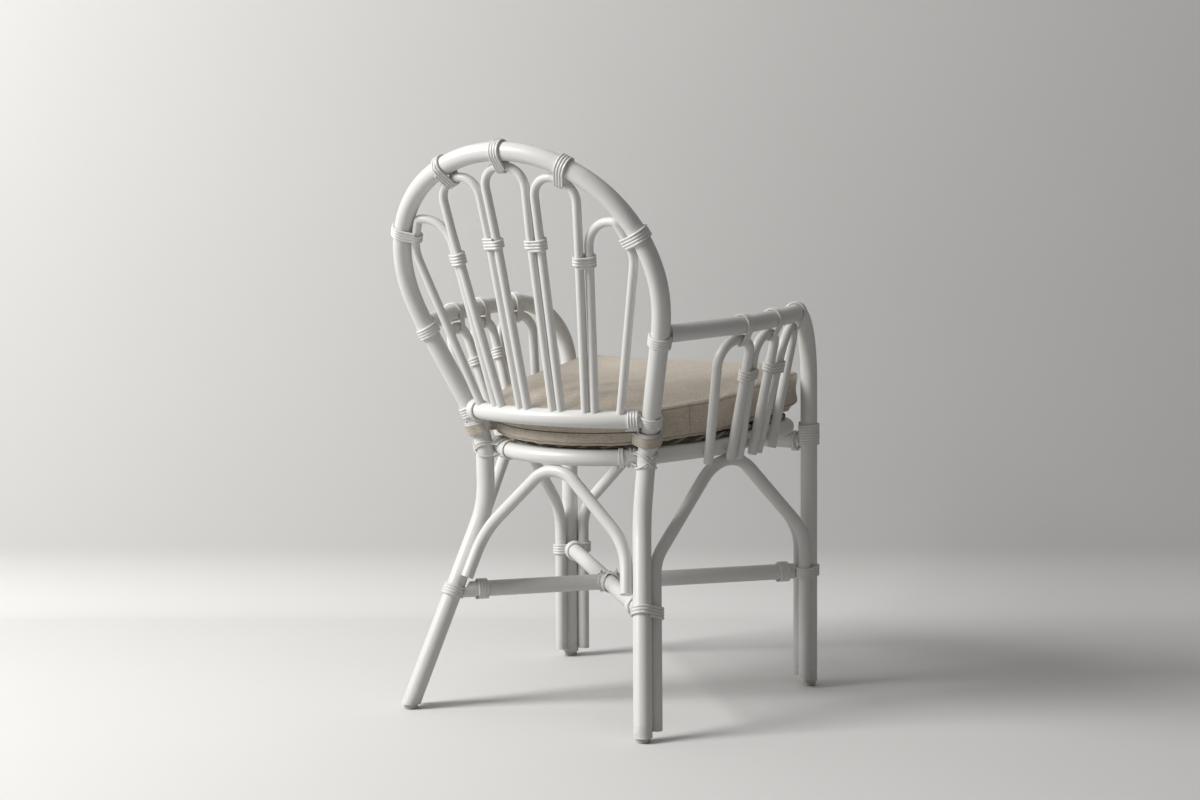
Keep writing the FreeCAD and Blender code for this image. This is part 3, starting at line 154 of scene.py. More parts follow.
# %% [markdown]
# ## White satin paint on cane
# The cane is sprayed white. The coat follows the grain of the skin below, so a raking light
# shows long faint streaks and the skin of sprayed paint, a fine orange peel. The colour wanders
# by a hair, and close to the floor the paint is scuffed and a little dirty. One recipe makes all
# the poles, and the way the grain runs is what changes from one to the next.


# %% The paint recipe
def cane_paint(name, tone, grain_scale, grain_turn=(0, 0, 0), grain_depth=0.00010):
    paint = Finish(name)
    streaks = paint.clouds(paint.stretched(grain_scale, grain_turn), 1.0, 3.0, 0.6)
    peel = paint.clouds(paint.spot(), 420.0, 1.0)
    patches = paint.clouds(paint.spot(), 14.0, 2.0)
    specks = paint.between(paint.clouds(paint.spot(), 160.0, 2.0, 0.7), 0.70, 0.78)
    height = paint.node("SeparateXYZ", {}, {"Vector": paint.spot()}, "Z")
    scuffs = paint.clouds(paint.spot(), 60.0, 3.0, 0.7)
    dirt = paint.between(height + scuffs * 0.10, 0.085, 0.035) * 0.45
    white = paint.blend(patches, colour(*tone), dimmed(0.965, tone))
    white = paint.blend(streaks * 0.10, white, colour(0.66, 0.64, 0.60))
    white = paint.blend(specks * 0.20, white, colour(0.60, 0.57, 0.52))
    white = paint.blend(dirt, white, colour(0.42, 0.38, 0.33))
    return paint.surface(
        Base_Color=white,
        Roughness=streaks * 0.10 + patches * 0.08 + dirt * 0.4 + 0.27,
        Coat_Weight=0.15,
        Coat_Roughness=0.25,
        relief=streaks * grain_depth + peel * 0.00003,
    )


UPRIGHT_GRAIN = (260.0, 260.0, 9.0)
CROSS_GRAIN = (9.0, 260.0, 260.0)
WHITE = (0.83, 0.825, 0.81)
paints = {
    "painted_pole": cane_paint("pole_paint", WHITE, UPRIGHT_GRAIN),
    "painted_back_cane": cane_paint("back_cane_paint", WHITE, UPRIGHT_GRAIN, grain_depth=0.00008),
    "painted_arm_cane": cane_paint("arm_cane_paint", WHITE, UPRIGHT_GRAIN, grain_depth=0.00008),
    "painted_arch": cane_paint("arch_paint", WHITE, UPRIGHT_GRAIN),
    "painted_rail": cane_paint("rail_paint", WHITE, CROSS_GRAIN),
    "painted_peel": cane_paint("peel_paint", (0.82, 0.81, 0.79), (150.0, 150.0, 150.0)),
    "painted_nail": cane_paint("nail_paint", (0.80, 0.79, 0.77), (90.0, 90.0, 90.0)),
}
print(f"{len(paints)} paints, from {WHITE}")


# %% [markdown]
# ## Glides and the seat board
# The glides are grey nylon, matt and scratched underneath by the floor. The board that carries
# the cushion is seen only from below. It is brushed white, thinly, so its grain shows through.


# %% Nylon and the painted board
def nylon():
    shell = Finish("glide_nylon")
    cloudy = shell.clouds(shell.spot(), 300.0, 3.0, 0.6)
    scratches = shell.clouds(shell.stretched((60.0, 900.0, 60.0), (0, 0, 0.6)), 1.0, 2.0)
    return shell.surface(
        Base_Color=shell.blend(cloudy, colour(0.52, 0.52, 0.50), colour(0.62, 0.62, 0.60)),
        Roughness=scratches * 0.25 + 0.38,
        relief=scratches * 0.00006,
    )


def board_paint():
    board = Finish("board_paint")
    figure = board.clouds(board.stretched((6.0, 90.0, 90.0)), 1.0, 4.0, 0.65)
    worn = board.between(board.clouds(board.spot(), 45.0, 3.0, 0.7), 0.60, 0.72)
    white = board.blend(figure, colour(0.70, 0.69, 0.66), colour(0.62, 0.61, 0.58))
    return board.surface(
        Base_Color=board.blend(worn * 0.3, white, colour(0.45, 0.42, 0.37)),
        Roughness=figure * 0.2 + 0.5,
        relief=figure * 0.0001,
    )


plain_finishes = {"glide_plastic": nylon(), "deck_board": board_paint()}

# %% Give every CAD node its finish
finishes = {**paints, **plain_finishes}
for name, node in nodes.items():
    for place in node.material_slots:
        made = finishes.get(place.material.name.split(".")[0])
        if made:
            place.material = made
print(sorted({place.material.name for node in nodes.values() for place in node.material_slots}))

# %% [markdown]
# ## Making pieces
# Every new piece starts as a bmesh. One helper turns it into an object that stands at the
# origin, so its vertices are in the chair's own coordinates, as a CAD node's are.


# %% An object from a bmesh
def piece(name, mesh_source, material=None):
    """An object at the origin from a finished bmesh."""
    mesh = bpy.data.meshes.new(name)
    mesh_source.to_mesh(mesh)
    mesh_source.free()
    made = bpy.data.objects.new(name, mesh)
    scene.collection.objects.link(made)
    if material:
        mesh.materials.append(material)
    return made


def smoothed(made):
    """Shades the faces of a piece as one round surface."""
    for face in made.data.polygons:
        face.use_smooth = True
    return made


# %% [markdown]
# ## Bindings, run together by the paint
# Flat strips of cane peel bind every joint. On the real chair they were sprayed with the rest,
# and the paint has filled the furrows between them. The CAD bindings are clean round strands,
# so each one is copied, swollen by the thickness of the coat, and remeshed with small voxels:
# where two strands touch, their skins merge into one furrow. Only voxels do that on a crossed
# lashing, where bevels or a bump map would fail.


# %% Helpers that copy a CAD node and bake modifiers
SEWN_WITHIN = 1e-6


def merged_copy(name, source):
    """A copy of a CAD node with its loose triangles sewn together."""
    shell = bmesh.new()
    shell.from_mesh(source.data)
    bmesh.ops.remove_doubles(shell, verts=shell.verts[:], dist=SEWN_WITHIN)
    return piece(name, shell)


def modified(shell, kind, **settings):
    """Adds one modifier with its settings."""
    made = shell.modifiers.new(kind.lower(), kind)
    for setting, value in settings.items():
        setattr(made, setting, value)


def baked(shell, material=None):
    """Turns what the modifiers make into the piece's own mesh."""
    bpy.context.view_layer.update()
    graph = bpy.context.evaluated_depsgraph_get()
    done = bpy.data.meshes.new_from_object(shell.evaluated_get(graph))
    shell.modifiers.clear()
    shell.data = done
    if material:
        done.materials.clear()
        done.materials.append(material)
    return smoothed(shell)


# %% [markdown]
# Three crossed lashings hold a pole against another one. Real peel is pulled tight there, so its
# strands lie flat on both poles in a low band. The clean turns of the CAD stand off a little. So
# each point of such a lashing goes where the middle of its strand has to go: down toward the
# joint, and onto the nearest pole. The strands keep their round shape, because all the points of
# one stretch share that move.

# %% Search trees and a way to pull strands tight
NEAR_CROSSING = 0.003
CROSSING_FADE = 0.009


def tree_of(*sources):
    """A search tree over the meshes of some objects."""
    spots, faces = [], []
    for source in sources:
        first = len(spots)
        spots += [vertex.co for vertex in source.data.vertices]
        faces += [[first + corner for corner in face.vertices] for face in source.data.polygons]
    return BVHTree.FromPolygons(spots, faces)


def pulled_tight(binding, poles, hold, reach, joint, squeeze):
    """Flattens a lashing along the leg and lays the middles of its strands on the poles."""
    surface = tree_of(*(nodes[name] for name in poles))
    crossing = tree_of(nodes[poles[-1]])
    spots = [vertex.co.copy() for vertex in binding.data.vertices]
    around = KDTree(len(spots))
    for index, spot in enumerate(spots):
        around.insert(spot, index)
    around.balance()
    for vertex, spot in zip(binding.data.vertices, spots):
        near = [other for other, _, _ in around.find_range(spot, reach)]
        middle = sum(near, Vector()) / len(near)
        away = crossing.find_nearest(middle)[3]
        share = min(max((away - NEAR_CROSSING) / CROSSING_FADE, 0), 1)
        drop = (middle.z - joint.z) * (1 - squeeze) * share
        lowered = middle - Vector((0, 0, drop))
        foot, outward, _, _ = surface.find_nearest(lowered)
        gap = (lowered - foot).dot(outward)
        toward = (lowered - foot).normalized() if gap > hold else outward
        if gap > hold or gap < 0:
            vertex.co = spot + foot + toward * hold - middle
        else:
            vertex.co = spot + lowered - middle


# %% Swell, fuse and smooth every binding
COAT = 0.00015
BINDING_VOXEL = 0.0007
STRAND_HOLD = 0.0022
STRAND_REACH = 0.0032
bindings = [name for name in nodes if "wrap" in name or "tie_" in name or "ties_" in name]
bindings = sorted(name for name in bindings if not name.startswith("cushion_tie"))
SEAT_JOINT = Vector((0.1403, 0.0915, 0.4025))
CROSSING = Vector((0, -0.0291, 0.1861))
LASHED = {
    "seat_rear_wrap_left": ("back_hoop", "seat_ring", SEAT_JOINT, 0.6),
    "seat_rear_wrap_right": ("back_hoop", "seat_ring", SEAT_JOINT, 0.6),
    "cross_wrap": ("stretcher_left", "stretcher_right", CROSSING, 1.0),
}
binding_faces = 0
for name in bindings:
    binding = merged_copy(f"{name}_painted", nodes[name])
    modified(binding, "DISPLACE", strength=COAT, mid_level=0.0)
    modified(binding, "REMESH", mode="VOXEL", voxel_size=BINDING_VOXEL)
    baked(binding)
    if name in LASHED:
        *poles, joint, squeeze = LASHED[name]
        pulled_tight(binding, poles, STRAND_HOLD, STRAND_REACH, joint, squeeze)
    modified(binding, "SMOOTH", factor=0.5, iterations=2)
    baked(binding, paints["painted_peel"])
    binding_faces += 2 * len(binding.data.polygons)
    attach(binding, "root")
    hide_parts(name)
print(f"{len(bindings)} bindings in {binding_faces} triangles")

# %% [markdown]
# ## Linen
# The cover is a heavy natural linen. Its threads are spun unevenly, so thick and thin places,
# the slubs, draw short streaks both ways, and beige and grey fibres mix. The finish works in
# object coordinates: on the top the threads run across and back, and on the boxing they run
# level and upright. The face's own normal says which of the two a point gets.


# %% The linen recipe
def linen(name, pale, middle, dark):
    cloth = Finish(name)
    way = cloth.node("NewGeometry", output="Normal")
    upness = cloth.node("SeparateXYZ", {}, {"Vector": way}, "Z")
    level = cloth.between(cloth.node("Math", {"operation": "ABSOLUTE"}, {0: upness}), 0.55, 0.8)
    across = cloth.clouds(cloth.stretched((70.0, 900.0, 900.0)), 1.0, 2.0, 0.6)
    along = cloth.clouds(cloth.stretched((900.0, 70.0, 900.0)), 1.0, 2.0, 0.6)
    rows = cloth.clouds(cloth.stretched((70.0, 70.0, 900.0)), 1.0, 2.0, 0.6)
    posts = cloth.clouds(cloth.stretched((900.0, 900.0, 70.0)), 1.0, 2.0, 0.6)
    flat = across + along
    upright = rows + posts
    slubs = upright + (flat - upright) * level
    fleck = cloth.between(slubs, 0.78, 1.22)
    washed = cloth.clouds(cloth.spot(), 18.0, 3.0, 0.6)
    shade = cloth.blend(fleck, colour(*dark), colour(*pale))
    shade = cloth.blend(washed * 0.5, shade, colour(*middle))
    grains = cloth.clouds(cloth.stretched((320.0, 240.0, 320.0)), 1.0, 1.0)
    knots = cloth.between(grains, 0.70, 0.76)
    shade = cloth.blend(knots * 0.55, shade, dimmed(0.62, dark))
    return cloth.surface(
        Base_Color=shade,
        Roughness=fleck * 0.1 + 0.84,
        Sheen_Weight=0.25,
        Sheen_Roughness=0.5,
        Specular_IOR_Level=0.25,
        relief=slubs * 0.00035,
    )


# A darker copy of the cover's linen paints the shade in the seams, and a near-black one paints the
# shadow under the zip's fold.
fabric = linen("cushion_linen", (0.68, 0.615, 0.53), (0.60, 0.535, 0.45), (0.47, 0.405, 0.33))
seam_shade_fabric = linen("seam_shade_linen", (0.42, 0.37, 0.31), (0.36, 0.31, 0.25), (0.28, 0.24, 0.19))
shadow_fabric = linen("fold_shadow_linen", (0.22, 0.18, 0.14), (0.17, 0.14, 0.105), (0.12, 0.095, 0.07))
thread = Finish("seam_thread").surface(Base_Color=colour(0.62, 0.57, 0.50), Roughness=0.7)
dark_thread = Finish("band_thread").surface(Base_Color=colour(0.30, 0.26, 0.21), Roughness=0.7)

# %% [markdown]
# ## The cushion
# A box cushion: a crowned top panel, a strip of boxing and a bottom panel, sewn round a foam
# block. The foam block of the CAD model is copied, remeshed evenly and blown up as cloth for
# twenty frames. The two seams are pinned, so the panels puff out between them, as sewn ones do.
# A cap keeps the growth to a few millimetres, less on the boxing than on the top, and what lies
# on the rope stays flat.

# %% The plane that the seat lies in
SEAT_MIDDLE = Vector((0, -0.02845, 0.4107))
SEAT_RISE = math.radians(3.6)
SEAT_SIDEWAYS = Vector((1, 0, 0))
SEAT_NORMAL = Vector((0, math.sin(SEAT_RISE), math.cos(SEAT_RISE)))
SEAT_REARWARD = Vector((0, math.cos(SEAT_RISE), -math.sin(SEAT_RISE)))
CUSHION_MIDDLE = SEAT_MIDDLE - SEAT_REARWARD * 0.0203
CUSHION_BASE = 0.02187
LOW_SEAM = CUSHION_BASE + 0.006
TOP_SEAM = CUSHION_BASE + 0.0485
ZIP_SEAM = CUSHION_BASE + 0.019
CUSHION_HALF = 0.209


def level_of(spot):
    """How far a point is above the ring's plane."""
    return (spot - SEAT_MIDDLE).dot(SEAT_NORMAL)


def rim_spots(tree, level, angles, inside=False):
    """Where rays of the seat's plane meet a shell, seen from its middle or from outside."""
    middle = CUSHION_MIDDLE + SEAT_NORMAL * level
    met = []
    for angle in angles:
        way = SEAT_SIDEWAYS * math.cos(angle) + SEAT_REARWARD * math.sin(angle)
        start = middle if inside else middle + way
        hit = tree.ray_cast(start, way if inside else -way)
        met.append((hit[0], hit[1]))
    return met


# %% [markdown]
# The rope under the cushion carries its rim, and beyond the rope the cloth hangs down a little.
# So the rope's middle line is needed first. It comes from the CAD rope: a ray from inside meets
# its inner wall, a ray from outside meets the outer one, and the middle line runs halfway.

# %% Find the rope's middle line
ROPE_LEVEL = 0.01682
RIM_STEPS = 720
FULL_TURN = [math.tau * count / RIM_STEPS for count in range(RIM_STEPS)]
rope_tree = tree_of(nodes["seat_edge_rope"])
inner = rim_spots(rope_tree, ROPE_LEVEL, FULL_TURN, inside=True)
outer = rim_spots(rope_tree, ROPE_LEVEL, FULL_TURN)
centre_line = [(first[0] + second[0]) / 2 for first, second in zip(inner, outer)]
rope_reach = [
    math.hypot(spot.x, (spot - CUSHION_MIDDLE).dot(SEAT_REARWARD)) for spot in centre_line
]
print(f"the rope runs {min(rope_reach):.3f} to {max(rope_reach):.3f} m from the middle")

# %% Remesh the foam and blow it up
CUSHION_VOXEL = 0.005
SEAM_PIN_REACH = 0.0032
PUFF_CAP = 0.0045
BOXING_PUFF_CAP = 0.0022
BLOW_FRAMES = 20
PRESSURE = 4.0
cushion = merged_copy("cushion", nodes["cushion_foam"])
modified(cushion, "REMESH", mode="VOXEL", voxel_size=CUSHION_VOXEL)
baked(cushion)
rest = [vertex.co.copy() for vertex in cushion.data.vertices]
pins = cushion.vertex_groups.new(name="seams")
for index, spot in enumerate(rest):
    height = level_of(spot)
    if min(abs(height - LOW_SEAM), abs(height - TOP_SEAM)) < SEAM_PIN_REACH:
        pins.add([index], 1.0, "REPLACE")
blow = cushion.modifiers.new("blow", "CLOTH")
blow.settings.use_pressure = True
blow.settings.uniform_pressure_force = PRESSURE
blow.settings.effector_weights.gravity = 0.0
blow.settings.vertex_group_mass = "seams"
for count in range(1, BLOW_FRAMES + 1):
    scene.frame_set(count)
baked(cushion)
furthest = 0.0
for vertex, spot in zip(cushion.data.vertices, rest):
    step = vertex.co - spot
    furthest = max(furthest, step.length)
    cap = PUFF_CAP if level_of(spot) > TOP_SEAM else BOXING_PUFF_CAP
    if step.length > cap:
        vertex.co = spot + step.normalized() * cap
    sunk = CUSHION_BASE - level_of(vertex.co)
    if sunk > 0:
        vertex.co += SEAT_NORMAL * sunk
modified(cushion, "SUBSURF", levels=1, render_levels=1)
baked(cushion, fabric)
print(f"cushion: {len(cushion.data.vertices)} points, moved up to {furthest * 1000:.1f} mm")

# %% [markdown]
# Now the sewing. Rays from outside find where each seam runs on the puffed shell. Two seams go all
# the way round, one closes the boxing at each side, and the zip lies in the rear boxing, under a
# fold with a row of stitches above it. A dark cord there paints the shadow under the fold.

# %% Lay out the seams
shell_tree = tree_of(cushion)
SEAM_HEIGHTS = {"top_seam": TOP_SEAM, "low_seam": LOW_SEAM}
seams = {name: rim_spots(shell_tree, level, FULL_TURN) for name, level in SEAM_HEIGHTS.items()}
ZIP_FROM = math.radians(47)
ZIP_COUNT = 220
zip_angles = [
    ZIP_FROM + (math.pi - 2 * ZIP_FROM) * count / (ZIP_COUNT - 1) for count in range(ZIP_COUNT)
]
seams["zip"] = rim_spots(shell_tree, ZIP_SEAM, zip_angles)
ZIP_STITCH_RISE = 0.0045
seams["zip_stitches"] = rim_spots(shell_tree, ZIP_SEAM + ZIP_STITCH_RISE, zip_angles)
SIDE_SEAM_DEPTH = 0.0765
SIDE_SEAM_STEPS = 30
for name, side in (("left_side", 1), ("right_side", -1)):
    angle = math.atan2(SIDE_SEAM_DEPTH, side * CUSHION_HALF)
    span = TOP_SEAM - LOW_SEAM
    rises = [LOW_SEAM + span * count / SIDE_SEAM_STEPS for count in range(SIDE_SEAM_STEPS + 1)]
    seams[name] = [rim_spots(shell_tree, rise, [angle])[0] for rise in rises]
print({name: len(line) for name, line in seams.items()})

# %% [markdown]
# A cushion that has been used doesn't lie flat. Its rear is sat down, its front stands up a
# little, the rim hangs over the rope at the rear, and the top panel is fullest close behind its
# seam. One function says where a point of the sewn box ends up, so that the cloth and the seams
# in it move together.


# %% Where a point settles
REAR_SHARE = 0.90
FRONT_SHARE = 1.12
FRONT_LIFT = 0.008
REAR_SAG = 0.0085
SAG_HEIGHT = 0.025
FULLNESS = 0.008
FULL_FROM_RIM = 0.050
FLATTENED = 0.007
FLAT_FROM_RIM = 0.120
OVERHANG = 0.010
HANG_FROM, HANG_OVER = 0.002, 0.007
SEAM_FADE = 0.004
CORNER_FILL = 0.007
CORNER_REACH = 0.040
CORNER_FADE = 0.03


def eased(value):
    """0 to 1 in a smooth step."""
    value = min(max(value, 0), 1)
    return value * value * (3 - 2 * value)


def settled(spot):
    """Where a point of the sewn box lies on the used cushion."""
    height = max(level_of(spot) - CUSHION_BASE, 0)
    aside = spot.x
    behind = (spot - CUSHION_MIDDLE).dot(SEAT_REARWARD)
    front = min(max((1 - behind / CUSHION_HALF) / 2, 0), 1)
    angle = math.atan2(behind, aside) % math.tau
    reach = rope_reach[round(angle / math.tau * len(rope_reach)) % len(rope_reach)]
    outside = math.hypot(aside, behind) - reach
    hanging = eased((outside - HANG_FROM) / HANG_OVER)
    low = max(1 - height / SAG_HEIGHT, 0)
    lift = FRONT_LIFT * front * max(hanging, 1 - low)
    sag = REAR_SAG * (1 - front) * hanging * low**1.5
    share = REAR_SHARE + (FRONT_SHARE - REAR_SHARE) * front
    above_seam = eased((height + CUSHION_BASE - TOP_SEAM) / SEAM_FADE)
    inward = OVERHANG - outside
    full = FULLNESS * eased(inward / FULL_FROM_RIM)
    full = above_seam * (full - FLATTENED * eased((inward - FULL_FROM_RIM) / FLAT_FROM_RIM))
    level = CUSHION_BASE + height * share + lift - sag + full
    corner = math.hypot(abs(aside) - CUSHION_HALF, behind + CUSHION_HALF)
    at_rim = eased((outside + CORNER_FADE) / CORNER_FADE)
    fill = CORNER_FILL * math.exp(-((corner / CORNER_REACH) ** 2)) * at_rim
    outward = (SEAT_SIDEWAYS * math.copysign(1, aside) - SEAT_REARWARD).normalized()
    return spot + SEAT_NORMAL * (level - level_of(spot)) + outward * fill


# %% Settle the cloth and the seams
for vertex in cushion.data.vertices:
    vertex.co = settled(vertex.co)
cushion.data.update()
seams = {name: [settled(hit) for hit, _ in line] for name, line in seams.items()}
seam_spots = [spot for name, line in seams.items() if name != "zip_stitches" for spot in line]
seam_tree = KDTree(len(seam_spots))
for index, spot in enumerate(seam_spots):
    seam_tree.insert(spot, index)
seam_tree.balance()
print(f"{len(seam_spots)} points along the seams")

# %% [markdown]
# The cloth is drawn in along the seams, and small puckers run out from them. Wide soft waves
# cross the top, where somebody has sat. Where the cushion would touch a pole, it gives way.

# %% Draw the seams in, pucker the cloth and keep it off the poles
GROOVE_DEPTH, GROOVE_REACH = 0.0011, 0.0026
PUCKER_DEPTH, PUCKER_REACH = 0.0008, 0.013
WAVE_DEPTH = 0.0009
PUCKERS_PER_M, WAVES_PER_M, RIPPLES_PER_M = 95.0, 16.0, 38.0
CLEAR_OF_POLES = 0.0008
POLE_SEARCH = 0.012
neighbours = [
    node
    for name, node in nodes.items()
    if name.startswith(("arm_loop_left", "arm_loop_right", "arm_left", "arm_right", "back_"))
    or name.startswith(("seat_front_wrap", "seat_rear_wrap", "seat_edge_rope"))
]
pole_tree = tree_of(*neighbours)
shifts = []
for vertex in cushion.data.vertices:
    spot = vertex.co.copy()
    gap = seam_tree.find(spot)[2]
    pucker = noise.noise(spot * PUCKERS_PER_M) * math.exp(-((gap / PUCKER_REACH) ** 2))
    groove = math.exp(-((gap / GROOVE_REACH) ** 2))
    wave = noise.noise(spot * WAVES_PER_M) + 0.5 * noise.noise(spot * RIPPLES_PER_M)
    puff = pucker * PUCKER_DEPTH - groove * GROOVE_DEPTH + wave * WAVE_DEPTH
    spot += vertex.normal * puff
    near, outward, _, _ = pole_tree.find_nearest(spot, POLE_SEARCH)
    if near is not None:
        inside = CLEAR_OF_POLES - (spot - near).dot(outward)
        if inside > 0:
            spot += outward * inside
    shifts.append(spot)
for vertex, spot in zip(cushion.data.vertices, shifts):
    vertex.co = spot
cushion.data.update()
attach(cushion, "root")
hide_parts("cushion_cover", "cushion_foam")
shell_tree = tree_of(cushion)
print(f"cushion kept {CLEAR_OF_POLES * 1000:.1f} mm off {len(neighbours)} poles and bindings")


# %% [markdown]
# ## Seams and the concealed zip
# A seam shows as a thin dark line where shade falls in the folded cloth. So a thin round cord of
# the same linen sits in each groove, with its colour darkened to paint that shade. Curves with a
# bevel make such cords in one step, and turned into meshes they sit in place like everything else.


# %% A cord from a row of points
CORD_SIDES = 3


def corded(name, lines, radius, material, closed):
    """One mesh with a round cord along each line of points."""
    curve = bpy.data.curves.new(name, "CURVE")
    curve.dimensions = "3D"
    curve.bevel_depth = radius
    curve.bevel_resolution = CORD_SIDES
    curve.use_fill_caps = True
    for line in lines:
        spline = curve.splines.new("POLY")
        spline.points.add(len(line) - 1)
        spline.points.foreach_set("co", [part for spot in line for part in (*spot, 1.0)])
        spline.use_cyclic_u = closed
    holder = bpy.data.objects.new(f"{name}_curve", curve)
    scene.collection.objects.link(holder)
    bpy.context.view_layer.update()
    graph = bpy.context.evaluated_depsgraph_get()
    mesh = bpy.data.meshes.new_from_object(holder.evaluated_get(graph))
    bpy.data.objects.remove(holder)
    cord_mesh = bmesh.new()
    cord_mesh.from_mesh(mesh)
    bmesh.ops.remove_doubles(cord_mesh, verts=cord_mesh.verts[:], dist=SEWN_WITHIN)
    bmesh.ops.recalc_face_normals(cord_mesh, faces=cord_mesh.faces[:])
    return smoothed(piece(name, cord_mesh, material))


# %% Sew the seams
def on_shell(line):
    """The points of a seam brought onto the finished cloth."""
    return [shell_tree.find_nearest(spot)[0] for spot in line]


SEAM_RADIUS = 0.0009
SIDE_SEAM_RADIUS = 0.0006
ZIP_FOLD_SHADOW_RADIUS = 0.0008
closing = {name: on_shell(seams[name]) for name in SEAM_HEIGHTS}
sides = [on_shell(seams["left_side"]), on_shell(seams["right_side"])]
# The seam cords carry the darkened linen, painted shade for the grooves of the seams.
sewn = [
    corded(f"cushion_{name}", [line], SEAM_RADIUS, seam_shade_fabric, True)
    for name, line in closing.items()
]
sewn.append(corded("cushion_side_seams", sides, SIDE_SEAM_RADIUS, seam_shade_fabric, False))
zip_line = on_shell(seams["zip"])
# A near-black linen cord along the zip paints the shadow under the fold that hides it.
sewn.append(corded("cushion_zip_fold", [zip_line], ZIP_FOLD_SHADOW_RADIUS, shadow_fabric, False))
for seam in sewn:
    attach(seam, "root")
print(f"{len(sewn)} pieces of seam and fold")


# %% Stitches
def stitched(name, rows, length, radius, material):
    """Short stitches along rows of (point, way) pairs."""
    sewing = bmesh.new()
    stretch = Matrix.Diagonal((1, 1, length / 2 / radius, 1))
    for spot, way in rows:
        turn = way.to_track_quat("Z", "Y").to_matrix().to_4x4()
        bmesh.ops.create_uvsphere(
            sewing,
            u_segments=6,
            v_segments=4,
            radius=radius,
            matrix=Matrix.Translation(spot) @ turn @ stretch,
        )
    made = smoothed(piece(name, sewing, material))
    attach(made, "root")


STITCH_LENGTH = 0.0026
STITCH_RADIUS = 0.00035
ZIP_STITCH_EVERY = 3
ZIP_STITCH_LIFT = 0.0001
zip_rows = []
stitch_line = seams["zip_stitches"]
for first, second in zip(stitch_line[::ZIP_STITCH_EVERY], stitch_line[1::ZIP_STITCH_EVERY]):
    spot, outward, _, _ = shell_tree.find_nearest(first)
    zip_rows.append((spot + outward * ZIP_STITCH_LIFT, second - first))
stitched("cushion_zip_stitches", zip_rows, STITCH_LENGTH, STITCH_RADIUS, thread)
print(f"{len(zip_rows)} stitches beside the zip")

# %% [markdown]
# ## The edge rope
# A soft laid rope of three strands lies on the ring under the cushion. Two strands are coloured a
# dark brown, which paints the shade under the cushion onto them, and the third is pale, which
# paints the lit parts of the strands. Three helices along the middle line make the lay. Their
# number of turns is whole, so each strand meets its own beginning.


# %% Fibre for the strands
def strand_fibre(name, pale, dark):
    fibre = Finish(name)
    streaks = fibre.clouds(fibre.stretched((380.0, 380.0, 380.0)), 1.0, 3.0, 0.7)
    patches = fibre.clouds(fibre.spot(), 55.0, 2.0)
    shade = fibre.blend(fibre.between(streaks, 0.35, 0.65), colour(*dark), colour(*pale))
    darker = dimmed(0.75, dark)
    return fibre.surface(
        Base_Color=fibre.blend(patches * 0.5, shade, darker),
        Roughness=streaks * 0.2 + 0.6,
        relief=streaks * 0.0004,
    )


# %% Even steps along the middle line
ROPE_TURNS = 36
POINTS_A_TURN = 14
walked = [0.0]
for before, after in zip(centre_line, centre_line[1:] + centre_line[:1]):
    walked.append(walked[-1] + (after - before).length)
rope_length = walked[-1]
closed_line = centre_line + centre_line[:1]
steps = ROPE_TURNS * POINTS_A_TURN
even, index = [], 0
for count in range(steps):
    distance = rope_length * count / steps
    while walked[index + 1] < distance:
        index += 1
    share = (distance - walked[index]) / (walked[index + 1] - walked[index])
    even.append(closed_line[index].lerp(closed_line[index + 1], share))
print(f"rope {rope_length:.3f} m long, {ROPE_TURNS} turns in {steps} steps")

# %% Lay the strands
ROPE_RADIUS = 0.00475
STRAND_RADIUS = 0.0024
STRANDS = 3
strands = []
for strand in range(STRANDS):
    line = []
    for count, spot in enumerate(even):
        tangent = (even[(count + 1) % steps] - even[count - 1]).normalized()
        aside = tangent.cross(SEAT_NORMAL).normalized()
        above = aside.cross(tangent)
        angle = math.tau * (count / POINTS_A_TURN + strand / STRANDS)
        offset = aside * math.cos(angle) + above * math.sin(angle)
        line.append(spot + offset * (ROPE_RADIUS - STRAND_RADIUS))
    strands.append(line)
# Two strands take a dark colour that paints the shade under the cushion, and the third a pale one
# that paints the strands the light reaches.
shaded_fibre = strand_fibre("rope_shaded_fibre", (0.30, 0.26, 0.20), (0.17, 0.14, 0.10))
lit_fibre = strand_fibre("rope_lit_fibre", (0.66, 0.61, 0.52), (0.46, 0.41, 0.33))
shaded_strands = corded("edge_rope_shaded", strands[:2], STRAND_RADIUS, shaded_fibre, True)
lit_strand = corded("edge_rope_lit", strands[2:], STRAND_RADIUS, lit_fibre, True)
for rope in (shaded_strands, lit_strand):
    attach(rope, "root")
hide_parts("seat_edge_rope")
print(f"{STRANDS} strands of {2000 * STRAND_RADIUS:.1f} mm")

# %% [markdown]
# ## The bands that hold the cushion
# A band of pale tape goes round each rear upright just under the back rail. It closes with a
# flap, tape again with a linen face sewn on it, whose free end points to the chair's middle and
# stands off a little, and a linen tab ties the band to the cushion's corner. They are flat
# webbing, so they are modelled directly: a ring and bent strips with a Solidify modifier.

# %% The tape's finish and the bands' places
tape_finish = Finish("hook_tape")
fuzz = tape_finish.clouds(tape_finish.spot(), 1800.0, 2.0, 0.7)
tape = tape_finish.surface(
    Base_Color=tape_finish.blend(fuzz, colour(0.82, 0.81, 0.82), colour(0.66, 0.65, 0.67)),
    Roughness=0.85,
    relief=fuzz * 0.0004,
)
band_fabric = linen("band_linen", (0.60, 0.545, 0.47), (0.54, 0.485, 0.41), (0.44, 0.385, 0.32))
BAND_SPOT = Vector((0.15684, 0.10724, 0.4404))
BAND_DROOP = math.radians(-5)
BAND_AXIS = Vector((0.2516, 0.2381, 0.9381))
BAND_WIDTH = 0.020
BAND_THICKNESS = 0.0015
BAND_INSIDE = 0.0170
FLAP_START = math.radians(142)
FLAP_SWEEP = math.radians(175)
FLAP_DROP = 0.0032
FLAP_LEVELLING = 0.6
FLAP_STAND_OFF = 0.0050
FREE_SHARE = 0.22
FLAP_BORDER = 0.0012
EDGE_ROUNDING_SHARE = 0.25


